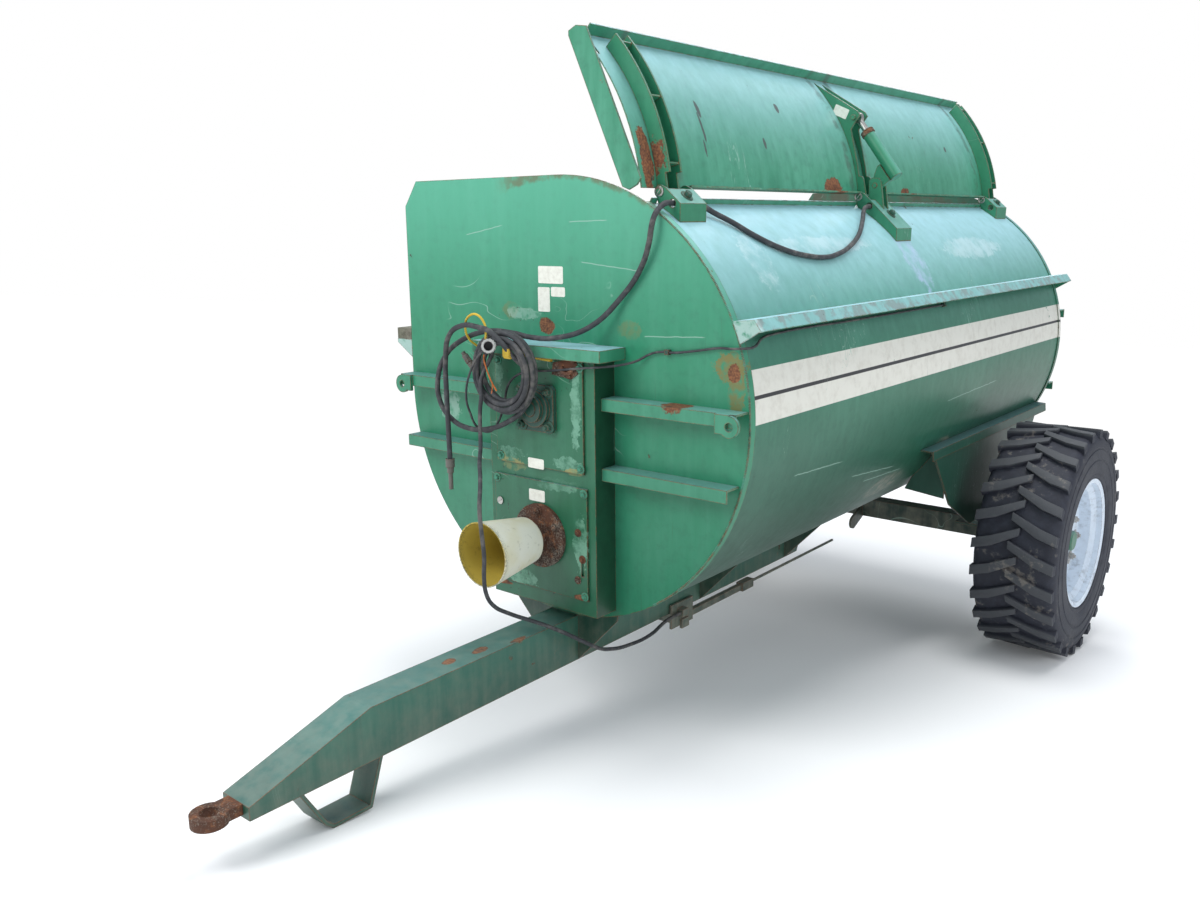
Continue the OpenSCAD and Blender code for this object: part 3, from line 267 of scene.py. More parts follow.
def copies(name, master, stands):
    """One piece of copies of a master, each on its own stand."""
    made = []
    for stand in stands:
        copy = master.copy()
        copy.data = master.data.copy()
        bpy.context.scene.collection.objects.link(copy)
        copy.matrix_world = stand
        made.append(copy)
    bpy.data.objects.remove(master)
    return joined(name, made)


def turned_bar(radius, length, bevel, sides=24, at_z=0.0):
    """A round bar standing on a level, with both ends' edges turned off."""
    bar = started(bpy.ops.mesh.primitive_cylinder_add, vertices=sides, radius=radius, depth=length,
                  location=(0, 0, at_z + length / 2))
    settled(bar)
    with editing(bar):
        pick(bar, "EDGE", lambda mid: min(abs(mid.z - at_z), abs(mid.z - at_z - length)) < 1e-6)
        bpy.ops.mesh.bevel(offset=bevel, segments=2)
    return bar


def drawn(points):
    """A closed line through points, drawn by stretching one corner to the next."""
    line = started(bpy.ops.mesh.primitive_plane_add, size=0.01)
    with editing(line):
        bpy.ops.mesh.select_mode(type="VERT")
        bpy.ops.mesh.select_all(action="SELECT")
        bpy.ops.mesh.merge(type="CENTER")
        bpy.ops.transform.translate(value=points[0])
        for a, b in zip(points, points[1:] + points[:1]):
            bpy.ops.mesh.extrude_region_move(TRANSFORM_OT_translate={"value": Vector(b) - Vector(a)})
        bpy.ops.mesh.select_all(action="SELECT")
        bpy.ops.mesh.remove_doubles(threshold=1e-5)
    return line


def traced(outline, thick, z=0.0):
    """A flat plate from its outline in X and Y, its lower face at a height."""
    plate = drawn([(x, y, z) for x, y in outline])
    with editing(plate):
        bpy.ops.mesh.edge_face_add()
        bpy.ops.mesh.extrude_region_move(TRANSFORM_OT_translate={"value": (0, 0, thick)})
        bpy.ops.mesh.select_all(action="SELECT")
        bpy.ops.mesh.normals_make_consistent(inside=False)
    return plate


def spun(profile, steps):
    """A piece turned about Z from its closed outline of radius and height."""
    piece = drawn([(radius, 0, height) for radius, height in profile])
    with editing(piece):
        bpy.ops.mesh.spin(steps=steps, angle=math.tau, center=(0, 0, 0), axis=(0, 0, 1))
        bpy.ops.mesh.select_all(action="SELECT")
        bpy.ops.mesh.remove_doubles(threshold=1e-5)
        bpy.ops.mesh.normals_make_consistent(inside=False)
    return piece


def curved(name, points, thick, roundness, steps):
    """A round bar's smooth curve through points. Its thickness is set at each point, so that its box fits it."""
    path = bpy.data.curves.new(name, "CURVE")
    path.dimensions = "3D"
    path.bevel_depth = 1
    path.bevel_resolution = roundness
    path.resolution_u = steps
    path.use_fill_caps = True
    spline = path.splines.new("BEZIER")
    spline.bezier_points.add(len(points) - 1)
    for stop, place in zip(spline.bezier_points, points):
        stop.co = place
        stop.radius = thick / 2
        stop.handle_left_type = stop.handle_right_type = "AUTO"
    bar = bpy.data.objects.new(name, path)
    bpy.context.scene.collection.objects.link(bar)
    return bar


def bent_bar(name, points, thick, body, finish):
    """A round bar bent through points of the level machine, made a mesh."""
    bar = curved(name, points, thick, 2, 4)
    alone(bar)
    bpy.ops.object.convert(target="MESH")
    bar = bpy.context.object
    with editing(bar):
        bpy.ops.mesh.remove_doubles(threshold=1e-6)
        bpy.ops.mesh.normals_make_consistent(inside=False)
    dressed(bar, finish)
    return parked(bar, body)


def dressed(piece, finish):
    """Gives a piece one finish."""
    piece.data.materials.clear()
    piece.data.materials.append(FINISH[finish])
    return piece


def make_brake_connector():
    """The brake hose's coupler half: a crimped sleeve, a hexagon and a nose."""
    end, before = (Vector(round_coil(*stop)) for stop in (BRAKE_OFF[-1], BRAKE_OFF[-2]))
    parts = [turned_bar(0.0105, 0.026, 0.0015, at_z=-0.012), turned_bar(0.0135, 0.012, 0.001, 6, 0.014),
             turned_bar(0.0115, 0.020, 0.0015, at_z=0.026), turned_bar(0.0075, 0.012, 0.001, at_z=0.046)]
    for groove in (-0.006, 0.000, 0.006):
        parts.append(turned_bar(0.0112, 0.003, 0.0008, at_z=groove))
    connector = joined("brake_connector", parts)
    connector.matrix_world = facing(end, end - before)
    return parked(connector, "chassis")


# How much longer a cord's smooth curve is than the straight runs between its points
CURVE_MORE = 1.006


def make_cord(name, route, thick, replaced, extras=()):
    """A round cord through a route's points; returns it."""
    cord = curved(name, [at(*place) for place in route], thick, 3, 5)
    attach(cord, "chassis")
    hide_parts(*replaced)
    tuple(at(*route[0]))
    round(CURVE_MORE * route_length(route), 2)
    return cord


BRAKE_CONNECTOR = make_brake_connector()
CORDS = [
    make_cord("lid_hose", wound_hose(), 0.018, ["ram_hose", "hose_coil", "hose_tail"],
              [frame["nodes"]["hose_coupler"]]),
    make_cord("brake_line", wound_brake_hose(), 0.014, ["brake_hose"],
              [BRAKE_CONNECTOR]),
    make_cord("lamp_lead", CABLE_ROUTE, 0.008, ["light_cable"],
              [frame["nodes"]["light_plug"]]),
]


class Field:
    """A socket of a finish. Arithmetic on it adds Math nodes."""

    def __init__(self, finish, socket):
        self.finish, self.socket = finish, socket

    def math(self, operation, *values):
        return self.finish.node("ShaderNodeMath", {"operation": operation}, dict(enumerate(values)))

    def __add__(self, other):
        return self.math("ADD", self, other)

    def __sub__(self, other):
        return self.math("SUBTRACT", self, other)

    def __rsub__(self, other):
        return self.math("SUBTRACT", other, self)

    def __mul__(self, other):
        return self.math("MULTIPLY", self, other)

    def __truediv__(self, other):
        return self.math("DIVIDE", self, other)

    def __pow__(self, other):
        return self.math("POWER", self, other)

    def __abs__(self):
        return self.math("ABSOLUTE", self)

    def __or__(self, other):
        return self.math("MAXIMUM", self, other)

    def __and__(self, other):
        return self.math("MINIMUM", self, other)

    __radd__, __rmul__ = __add__, __mul__

    def rise(self, low, high):
        """0 below low, 1 above high and smooth between; a low above high turns it round."""
        values = {"Value": self, "From Min": low, "From Max": high}
        return self.finish.node("ShaderNodeMapRange", {"interpolation_type": "SMOOTHSTEP"}, values)

    def __getitem__(self, axis):
        return self.finish.node("ShaderNodeSeparateXYZ", (), {0: self}, axis)


class Finish:
    """A material under construction."""

    def __init__(self, name):
        self.material = bpy.data.materials.new(name)
        self.material.use_nodes = True
        self.tree = self.material.node_tree
        self.tree.nodes.clear()
        self.object_place = self.node("ShaderNodeTexCoord", out="Object")
        inverse = {"Vector": self.object_place, "Location": PARKED.translation, "Rotation": (PITCH, 0, 0)}
        self.place = self.node("ShaderNodeMapping", {"vector_type": "TEXTURE"}, inverse)
        self.normal = self.node("ShaderNodeNewGeometry", out="Normal")

    def node(self, kind, settings=(), inputs=(), out=0):
        """A node of that type, its settings made first, then its sockets filled; returns one output."""
        made = self.tree.nodes.new(kind)
        for key, value in dict(settings).items():
            if key == "stops":
                ramp = made.color_ramp.elements
                for _ in range(len(value) - 2):
                    ramp.new(0.5)
                for element, (position, colour) in zip(ramp, value):
                    element.position, element.color = position, (*colour, 1)
            else:
                setattr(made, key, value)
        for key, value in dict(inputs).items():
            socket = made.inputs[key]
            if isinstance(value, Field):
                self.tree.links.new(value.socket, socket)
            elif socket.type == "RGBA" and len(value) == 3:
                socket.default_value = (*value, 1)
            else:
                socket.default_value = value
        return Field(self, made.outputs[out]) if made.outputs else None

    def noise(self, scale, detail=3.0, rough=0.5, stretch=(1, 1, 1), shift=(0, 0, 0), twist=0.0):
        """Noise from 0 to 1, about 0.5, in the level machine's metres."""
        mapped = {"Vector": self.place, "Scale": stretch, "Location": shift}
        where = self.node("ShaderNodeMapping", (), mapped)
        inputs = {"Vector": where, "Scale": scale, "Detail": detail, "Roughness": rough, "Distortion": twist}
        return self.node("ShaderNodeTexNoise", (), inputs)

    def mix(self, share, a, b):
        """Colour a where share is 0 and b where it is 1."""
        return self.node("ShaderNodeMix", {"data_type": "RGBA"}, {0: share, 6: a, 7: b}, 2)

    def outward(self):
        """Above 0 on faces that look away from the drum's axis and below 0 on those that look at it."""
        return self.place[0] * self.normal[0] + self.place[2] * self.normal[2]

    def edges(self, radius):
        """1 along sharp edges, within radius of them."""
        soft = self.node("ShaderNodeBevel", {"samples": 4}, {"Radius": radius})
        same = self.node("ShaderNodeVectorMath", {"operation": "DOT_PRODUCT"}, {0: soft, 1: self.normal}, "Value")
        return same.rise(0.995, 0.86)

    def blotch(self, centre, size, ragged):
        """1 within an uneven patch about a point of the level machine."""
        offset = self.node("ShaderNodeVectorMath", {"operation": "SUBTRACT"}, {0: self.place, 1: centre})
        scaled = self.node("ShaderNodeVectorMath", {"operation": "DIVIDE"}, {0: offset, 1: size})
        reach = self.node("ShaderNodeVectorMath", {"operation": "LENGTH"}, {0: scaled}, "Value")
        return (reach + ragged).rise(1.05, 0.9)

    def close(self, colour, rough, metal=0.0, height=None, depth=0.002, soft=0.0, **sockets):
        """Ends the material in one Principled shader."""
        inputs = {"Base Color": colour, "Roughness": rough, "Metallic": metal}
        inputs.update({key.replace("_", " "): value for key, value in sockets.items()})
        if height is not None:
            bump = {"Height": height, "Distance": depth}
            if soft:
                bump["Normal"] = self.node("ShaderNodeBevel", {"samples": 4}, {"Radius": soft})
            inputs["Normal"] = self.node("ShaderNodeBump", (), bump)
        surface = self.node("ShaderNodeBsdfPrincipled", (), inputs)
        self.node("ShaderNodeOutputMaterial", (), {"Surface": surface})
        return self.material


# Colours of the finishes, as linear light.
GREEN = (0.030, 0.215, 0.120)
FADED_GREEN = (0.085, 0.330, 0.215)
DEEP_GREEN = (0.010, 0.085, 0.050)
CHALK = (0.330, 0.500, 0.420)
RUST = (0.120, 0.045, 0.022)
RUST_BRIGHT = (0.250, 0.100, 0.040)
RUST_DARK = (0.035, 0.020, 0.015)
GRIME = (0.035, 0.035, 0.028)
DUST = (0.330, 0.290, 0.230)
CREAM = (0.700, 0.690, 0.620)
# A painted sky reflection, pale and bluish, for faces that look up
PAINTED_SKY_REFLECTION = (0.400, 0.650, 0.760)


def steel_paint(name, base=GREEN, chips=0.5, dust=0.3, patches=(), fade=0.5, sky=0.35, painted_low_shade=(0.2, -0.9, 0.35),
                painted_side_shade=0.0, stripe=False, marks=None):
    """Old green paint on steel: a painted sky reflection on faces that look up, painted shade low down and on faces
    that look to one side, streaked, chipped at its edges, rusty in places.
    """
    f = Finish(name)
    broad = f.noise(1.1, 3)
    streaks = f.noise(3.0, 4, 0.6, stretch=(7, 7, 0.8))
    mottle = f.noise(26, 5, 0.6)
    grain = f.noise(140, 3)
    colour = f.mix((broad * 0.7 + streaks * 0.5 - 0.1).rise(0.35, 0.75) * fade, base, FADED_GREEN)
    colour = f.mix(mottle.rise(0.45, 0.8) * 0.3, colour, DEEP_GREEN)
    above = f.normal[2].rise(0.15, 0.95)
    # Painted sky reflection: faces that look up are made paler and bluer, the more so the larger sky is
    colour = f.mix(above * (0.7 + streaks * 0.6) * sky, colour, PAINTED_SKY_REFLECTION)
    # Painted shade: the paint is darkened towards the bottom and, for some finishes, on faces that look to the
    # machine's left
    high, low, depth = painted_low_shade
    painted_shade = f.place[2].rise(high, low) * depth | f.normal[0].rise(0.5, 0.95) * painted_side_shade
    colour = f.mix(painted_shade * (0.85 + mottle * 0.3), colour, (0.06 * base[0], 0.16 * base[1], 0.13 * base[2]))
    if stripe:
        colour = painted_stripe(f, colour, mottle)
    drips = f.noise(2.4, 5, 0.7, stretch=(14, 14, 0.7), shift=(3, 1, 2)).rise(0.62, 0.82)
    colour = f.mix(drips * 0.4, colour, GRIME)
    lines = f.noise(2.2, 2, 0.5, stretch=(1, 6, 1), shift=(7, 0, 3), twist=1.5)
    scratch = abs(lines - 0.5).rise(0.004, 0.001) * f.noise(1.7, 2, shift=(9, 4, 1)).rise(0.56, 0.62)
    colour = f.mix(scratch * 0.6, colour, CHALK)
    ragged = (mottle - 0.5) * 1.1 + (grain - 0.5) * 0.4
    if marks:
        colour = marks(f, colour, ragged, mottle)
    edge = f.edges(0.006)
    worn = (edge * (mottle * 1.2 + chips - 0.5)).rise(0.42, 0.62)
    spots = (f.noise(9, 6, 0.7, shift=(5, 2, 8)) * 0.75 + mottle * 0.3).rise(0.71 - 0.06 * chips, 0.745 - 0.06 * chips)
    rust = worn | spots
    for centre, size in patches:
        rust = rust | f.blotch(centre, size, ragged)
    oxide = f.mix(grain.rise(0.35, 0.65), RUST, RUST_BRIGHT)
    oxide = f.mix(mottle.rise(0.5, 0.7), oxide, RUST_DARK)
    colour = f.mix(rust, colour, oxide)
    low = f.place[2].rise(-0.35, -0.95)
    dirt = ((low * 0.8 + above * 0.25) * (mottle * 0.6 + streaks * 0.8)).rise(0.3, 0.85) * dust
    colour = f.mix(dirt, colour, DUST)
    rough = 0.34 + mottle * 0.12 + rust * 0.4 + dirt * 0.35
    height = mottle * 0.25 + grain * 0.15 - rust * 0.8 * (0.5 + grain)
    return f.close(colour, rough, height=height, depth=0.0012, soft=0.0025)


def patched(f, colour, tint, ragged, wear, patches):
    """Uneven patches of a tint, each with its middle, its size and its share, where wear is above 0."""
    for centre, size, share in patches:
        colour = f.mix(f.blotch(centre, size, ragged) * wear * share, colour, tint)
    return colour


def scratched(f, colour, along, mottle, wobble, width, tails, share, scratches):
    """Long pale scratches, each with its height, its lean and its start and end along the surface."""
    for height, lean, start, end in scratches:
        line = abs(f.place[2] - height - (along - start) * lean + (mottle - 0.5) * wobble).rise(*width)
        run = along.rise(start, start + tails[0]) * along.rise(end, end - tails[1])
        colour = f.mix(line * run * share, colour, CHALK)
    return colour


def plate_marks(f, colour, ragged, mottle):
    """The front plate's painted sky light, paler towards its top, and its own marks: lichen along its arc and down its
    right edge, long scratches.
    """
    x, z = f.place[0], f.place[2]
    # Painted sky light: the plate is made paler towards its top
    colour = f.mix(z.rise(0.15, 0.85) * 0.45, colour, (0.16, 0.56, 0.40))
    radius = (x * x + z * z) ** 0.5
    arc = (radius + ragged * 0.03).rise(0.742, 0.758) * x.rise(-0.30, -0.18) * z.rise(0.60, 0.68)
    colour = f.mix(arc * mottle.rise(0.3, 0.6) * 0.7, colour, (0.130, 0.110, 0.050))
    crust = mottle.rise(0.34, 0.56)
    colour = patched(f, colour, (0.175, 0.150, 0.040), ragged * 1.6, crust, [
        ((0.685, 0, 0.175), (0.060, 1, 0.050), 0.9), ((0.712, 0, 0.105), (0.030, 1, 0.090), 0.8),
        ((-0.228, 0, 0.308), (0.040, 1, 0.030), 0.45), ((0.306, 0, 0.268), (0.050, 1, 0.030), 0.4)])
    colour = patched(f, colour, CHALK, ragged * 1.6, crust, [
        ((-0.56, 0, -0.065), (0.060, 1, 0.060), 0.6), ((-0.170, 0, 0.300), (0.085, 1, 0.022), 0.5)])
    specks = f.noise(70, 2, shift=(4, 4, 4)).rise(0.66, 0.70) * f.blotch((-0.15, 0, 0.30), (0.14, 1, 0.04), ragged)
    colour = f.mix(specks * 0.8, colour, RUST_DARK)
    return scratched(f, colour, x, mottle, 0.006, (0.0022, 0.0010), (0.01, 0.02), 0.6, [
        (0.567, 0.18, -0.44, -0.25), (0.480, -0.10, 0.10, 0.36), (0.250, 0.05, 0.36, 0.60),
        (0.610, 0.02, 0.05, 0.22)])


def cover_marks(f, colour, ragged, mottle):
    """The cover's painted sky reflection, a pale blue patch below the arm, and its own marks: pale scuffs under the
    hose, its worn front edge.
    """
    worn = f.noise(9, 6, 0.7, shift=(1, 2, 3))
    torn = ragged + (worn - 0.5)
    # Painted sky reflection: a ragged pale blue patch below the arm
    colour = patched(f, colour, (0.42, 0.50, 0.72), torn, worn.rise(0.35, 0.62), [
        ((0.62, 1.50, 0.46), (0.16, 0.085, 0.16), 0.6)])
    colour = patched(f, colour, (0.55, 0.68, 0.72), torn, worn.rise(0.36, 0.6), [
        ((0.56, 0.80, 0.52), (0.10, 0.40, 0.035), 0.45), ((0.60, 2.2, 0.48), (0.10, 0.35, 0.05), 0.45),
        ((0.60, 0.32, 0.50), (0.13, 0.07, 0.12), 0.45)])
    edge = f.place[1].rise(0.022, 0.012) * mottle.rise(0.30, 0.50)
    colour = f.mix(edge * 0.6, colour, (0.50, 0.64, 0.62))
    lip = f.place[0].rise(0.735, 0.745) * f.normal[2].rise(0.2, 0.6) * (worn * 0.6 + mottle * 0.5).rise(0.52, 0.62)
    return f.mix(lip * 0.55, colour, (0.19, 0.17, 0.16))


def lid_marks(f, colour, ragged, mottle):
    """The lid's own marks: small dents' dark chips, long thin rust scratches and darker bands beside its ribs."""
    colour = patched(f, colour, (0.055, 0.045, 0.050), ragged * 1.3, 1.0, [
        ((0.271, 0.415, 0.975), (0.05, 0.011, 0.030), 0.85), ((0.300, 0.402, 0.915), (0.05, 0.006, 0.060), 0.85),
        ((0.328, 0.387, 0.849), (0.05, 0.006, 0.030), 0.85), ((0.251, 0.983, 1.023), (0.05, 0.013, 0.018), 0.85),
        ((0.318, 0.792, 0.881), (0.05, 0.009, 0.020), 0.85), ((0.300, 2.550, 0.940), (0.05, 0.012, 0.014), 0.85)])
    for side in (0.205, 1.440, 1.604, 2.868):
        seam = abs(f.place[1] - side + (mottle - 0.5) * 0.03).rise(0.030, 0.008) * mottle.rise(0.35, 0.6)
        colour = f.mix(seam * 0.55, colour, (0.06, 0.07, 0.06))
    return colour


def box_marks(f, colour, ragged, mottle):
    """The box's own marks: scuffed pale round its bolts and its right edge, lichen under the panel, dark pits."""
    front = f.place[1].rise(-0.100, -0.104)
    worn = f.noise(16, 6, 0.72, shift=(3, 3, 1))
    torn = ragged * 1.8 + (worn - 0.5)
    colour = patched(f, colour, (0.27, 0.54, 0.40), torn, worn.rise(0.36, 0.60) * front, [
        ((0.165, FACE, 0.02), (0.022, 1, 0.14), 0.45), ((-0.195, FACE, 0.10), (0.030, 1, 0.08), 0.4),
        ((-0.14, FACE, -0.175), (0.070, 1, 0.022), 0.4), ((0.13, FACE, -0.180), (0.060, 1, 0.024), 0.4),
        ((-0.02, FACE, 0.17), (0.10, 1, 0.018), 0.4), ((0.18, FACE, -0.45), (0.030, 1, 0.10), 0.4),
        ((-0.10, FACE, -0.62), (0.09, 1, 0.030), 0.35), ((0.08, FACE, -0.26), (0.10, 1, 0.020), 0.3)])
    colour = patched(f, colour, (0.27, 0.25, 0.085), torn, mottle.rise(0.36, 0.52) * front, [
        ((-0.127, FACE, -0.215), (0.055, 1, 0.022), 0.8), ((0.150, FACE, -0.205), (0.040, 1, 0.014), 0.8),
        ((-0.185, FACE, -0.19), (0.025, 1, 0.016), 0.8)])
    pits = f.noise(85, 3, 0.6, shift=(2, 6, 1)).rise(0.655, 0.69) * f.noise(5, 2, shift=(1, 1, 9)).rise(0.48, 0.58)
    return f.mix(pits * 0.85, colour, (0.012, 0.022, 0.016))


def drum_marks(f, colour, ragged, mottle):
    """The drum's own marks: darker patches, sandy dust and long pale scratches on its left side."""
    y, z = f.place[1], f.place[2]
    outside = f.outward().rise(-0.1, 0.1)
    inside = (1 - outside) * y.rise(0.003, 0.006) * y.rise(3.070, 3.067)
    caked = f.noise(4, 5, 0.7, stretch=(1, 0.5, 1)).rise(0.42, 0.56) | z.rise(-0.25, -0.55)
    colour = f.mix(inside * caked * 0.85, colour, f.mix(mottle, (0.060, 0.042, 0.025), (0.13, 0.10, 0.065)))
    left = f.place[0].rise(0.2, 0.4) * outside
    colour = patched(f, colour, DEEP_GREEN, ragged, left, [
        ((0.70, 2.05, -0.26), (1, 0.34, 0.07), 0.45), ((0.70, 0.95, -0.30), (1, 0.22, 0.05), 0.45)])
    colour = patched(f, colour, DUST, ragged, left * mottle.rise(0.35, 0.7), [
        ((0.60, 1.35, -0.47), (1, 0.16, 0.06), 0.6), ((0.66, 1.75, -0.36), (1, 0.10, 0.04), 0.6)])
    return scratched(f, colour, y, mottle, 0.008, (0.0026, 0.0012), (0.02, 0.05), left * 0.55, [
        (-0.330, -0.10, 0.86, 1.30), (-0.385, -0.06, 1.02, 1.42), (-0.140, 0.03, 1.60, 2.20),
        (-0.220, -0.05, 0.34, 0.72)])


# The stripe's lower and upper edge, those of its dark line, and how far out on the drum's side it starts
STRIPE_Z = (0.000, 0.168)
LINE_Z = (0.078, 0.090)
STRIPE_X = 0.70


def painted_stripe(f, colour, mottle):
    """The pale band along the drum's left side with its thin dark line, cracked and scuffed."""
    x, z = f.place[0], f.place[2]
    side = x.rise(STRIPE_X - 0.001, STRIPE_X)
    band = side * z.rise(STRIPE_Z[0], STRIPE_Z[0] + 0.001) * z.rise(STRIPE_Z[1] + 0.001, STRIPE_Z[1])
    lost = f.noise(14, 6, 0.75, shift=(1, 8, 6)).rise(0.68, 0.72)
    band = band * f.outward().rise(-0.1, 0.1)
    line = z.rise(LINE_Z[0], LINE_Z[0] + 0.0008) * z.rise(LINE_Z[1] + 0.0008, LINE_Z[1])
    pale = f.mix(mottle.rise(0.4, 0.8) * 0.3, CREAM, DUST)
    pale = f.mix(line, pale, (0.02, 0.02, 0.022))
    return f.mix(band * (1 - lost), colour, pale)


def rusty_iron(name):
    """Iron that has lost its paint."""
    f = Finish(name)
    broad, mottle, grain = f.noise(8, 4), f.noise(45, 5, 0.65), f.noise(220, 3)
    colour = f.mix(broad.rise(0.35, 0.65), RUST, RUST_DARK)
    colour = f.mix(mottle.rise(0.5, 0.72), colour, RUST_BRIGHT)
    colour = f.mix((broad + grain).rise(1.0, 1.25) * 0.5, colour, DUST)
    return f.close(colour, 0.75 + grain * 0.2, 0.15, mottle + grain * 0.5, 0.0015, 0.002)


def bare_steel(name):
    """Machined steel with a film of oil and some rust."""
    f = Finish(name)
    mottle, grain = f.noise(30, 5, 0.6), f.noise(300, 2)
    rust = mottle.rise(0.6, 0.7)
    colour = f.mix(rust, f.mix(grain, (0.50, 0.49, 0.46), (0.36, 0.35, 0.33)), RUST)
    return f.close(colour, 0.28 + grain * 0.15 + rust * 0.45, 1 - rust * 0.7, mottle, 0.0006, 0.001)


def dull_rubber(name, tone=(0.028, 0.030, 0.034), dust=0.4):
    """Black rubber, greyed by age and dust."""
    f = Finish(name)
    broad, mottle, grain = f.noise(5, 3), f.noise(40, 5, 0.6), f.noise(260, 3)
    colour = f.mix(mottle.rise(0.35, 0.75), tone, tuple(1.9 * c for c in tone))
    colour = f.mix((broad + mottle).rise(0.95, 1.3) * dust, colour, DUST)
    return f.close(colour, 0.62 + mottle * 0.2, 0.0, grain + mottle, 0.0006)


def tyre_rubber(name):
    """Black rubber, blue-black in its grooves and on its flanks, its lugs' tops rubbed grey and dusty."""
    f = Finish(name)
    broad, mottle, grain = f.noise(5, 3), f.noise(34, 5, 0.6), f.noise(260, 3)
    hub = f.node("ShaderNodeVectorMath", {"operation": "SUBTRACT"}, {0: f.place, 1: (0, HUB_Y, HUB_Z)})
    out = (hub[1] * hub[1] + hub[2] * hub[2]) ** 0.5
    top = out.rise(0.508, 0.519)
    colour = f.mix(mottle.rise(0.35, 0.75), (0.014, 0.016, 0.027), (0.027, 0.031, 0.047))
    colour = f.mix(top * (0.55 + mottle * 0.6), colour, (0.062, 0.066, 0.074))
    flank = out.rise(0.47, 0.42) * (broad + mottle).rise(0.85, 1.25)
    colour = f.mix(flank * 0.25, colour, (0.090, 0.092, 0.098))
    mud = (broad + mottle).rise(1.12, 1.32) * out.rise(0.40, 0.50)
    colour = f.mix(mud * 0.35, colour, DUST)
    return f.close(colour, 0.58 + mottle * 0.25, 0.0, grain + mottle, 0.0007)


def guard_plastic(name):
    """The guard's plastic: bleached cream outside, still yellow inside."""
    f = Finish(name)
    broad, mottle, grain = f.noise(9, 4), f.noise(48, 5, 0.6), f.noise(200, 2)
    axis = f.node("ShaderNodeVectorMath", {"operation": "SUBTRACT"}, {0: f.place, 1: (0, 0, INPUT_Z)})
    away = axis[0] * f.normal[0] + axis[2] * f.normal[2]
    outside = away.rise(-0.005, 0.005)
    bleached = f.mix(broad.rise(0.35, 0.7) * 0.5, (0.62, 0.62, 0.54), (0.52, 0.46, 0.22))
    colour = f.mix(outside, (0.46, 0.35, 0.055), bleached)
    colour = f.mix(mottle.rise(0.58, 0.75) * 0.35, colour, GRIME)
    colour = f.mix(f.place[1].rise(-0.375, -0.398) * grain.rise(0.4, 0.6) * 0.5, colour, GRIME)
    return f.close(colour, 0.5 + mottle * 0.2, 0.0, mottle * 0.4 + grain * 0.2, 0.0006)


def plain_paint(name, tone, wear, rough=0.4, dirt=0.35):
    """A smooth coat of one colour with dirt in it and some wear."""
    f = Finish(name)
    broad, mottle, grain = f.noise(6, 4), f.noise(38, 5, 0.6), f.noise(190, 3)
    colour = f.mix(mottle.rise(0.3, 0.8) * 0.5, tone, tuple(0.75 * c for c in tone))
    colour = f.mix((broad + mottle).rise(1.0, 1.35) * dirt, colour, GRIME)
    gone = (f.edges(0.004) * (mottle + 0.25)).rise(0.55, 0.75) * wear
    colour = f.mix(gone, colour, RUST)
    return f.close(colour, rough + mottle * 0.2 + gone * 0.3, 0.0, mottle * 0.3 + grain * 0.2, 0.0008, 0.002)


def timber(name):
    """Weathered softwood, grey with dirt in its grain, which runs along the machine."""
    f = Finish(name)
    grain = f.noise(60, 6, 0.7, stretch=(1, 0.03, 1), twist=0.8)
    broad, mottle = f.noise(3, 3), f.noise(35, 5, 0.6)
    colour = f.mix(grain.rise(0.35, 0.7), (0.20, 0.185, 0.145), (0.075, 0.065, 0.048))
    colour = f.mix(broad.rise(0.5, 0.7) * 0.5, colour, (0.10, 0.115, 0.075))
    colour = f.mix(mottle.rise(0.6, 0.8) * 0.6, colour, (0.27, 0.24, 0.18))
    return f.close(colour, 0.85, 0.0, grain + mottle * 0.3, 0.003, 0.003)


def white_label(name):
    """A blank label, yellowed and dirty at its rim."""
    f = Finish(name)
    mottle = f.noise(60, 4, 0.6)
    colour = f.mix(mottle.rise(0.35, 0.8) * 0.5, (0.78, 0.78, 0.70), (0.50, 0.48, 0.40))
    return f.close(colour, 0.45, 0.0, mottle, 0.0003)


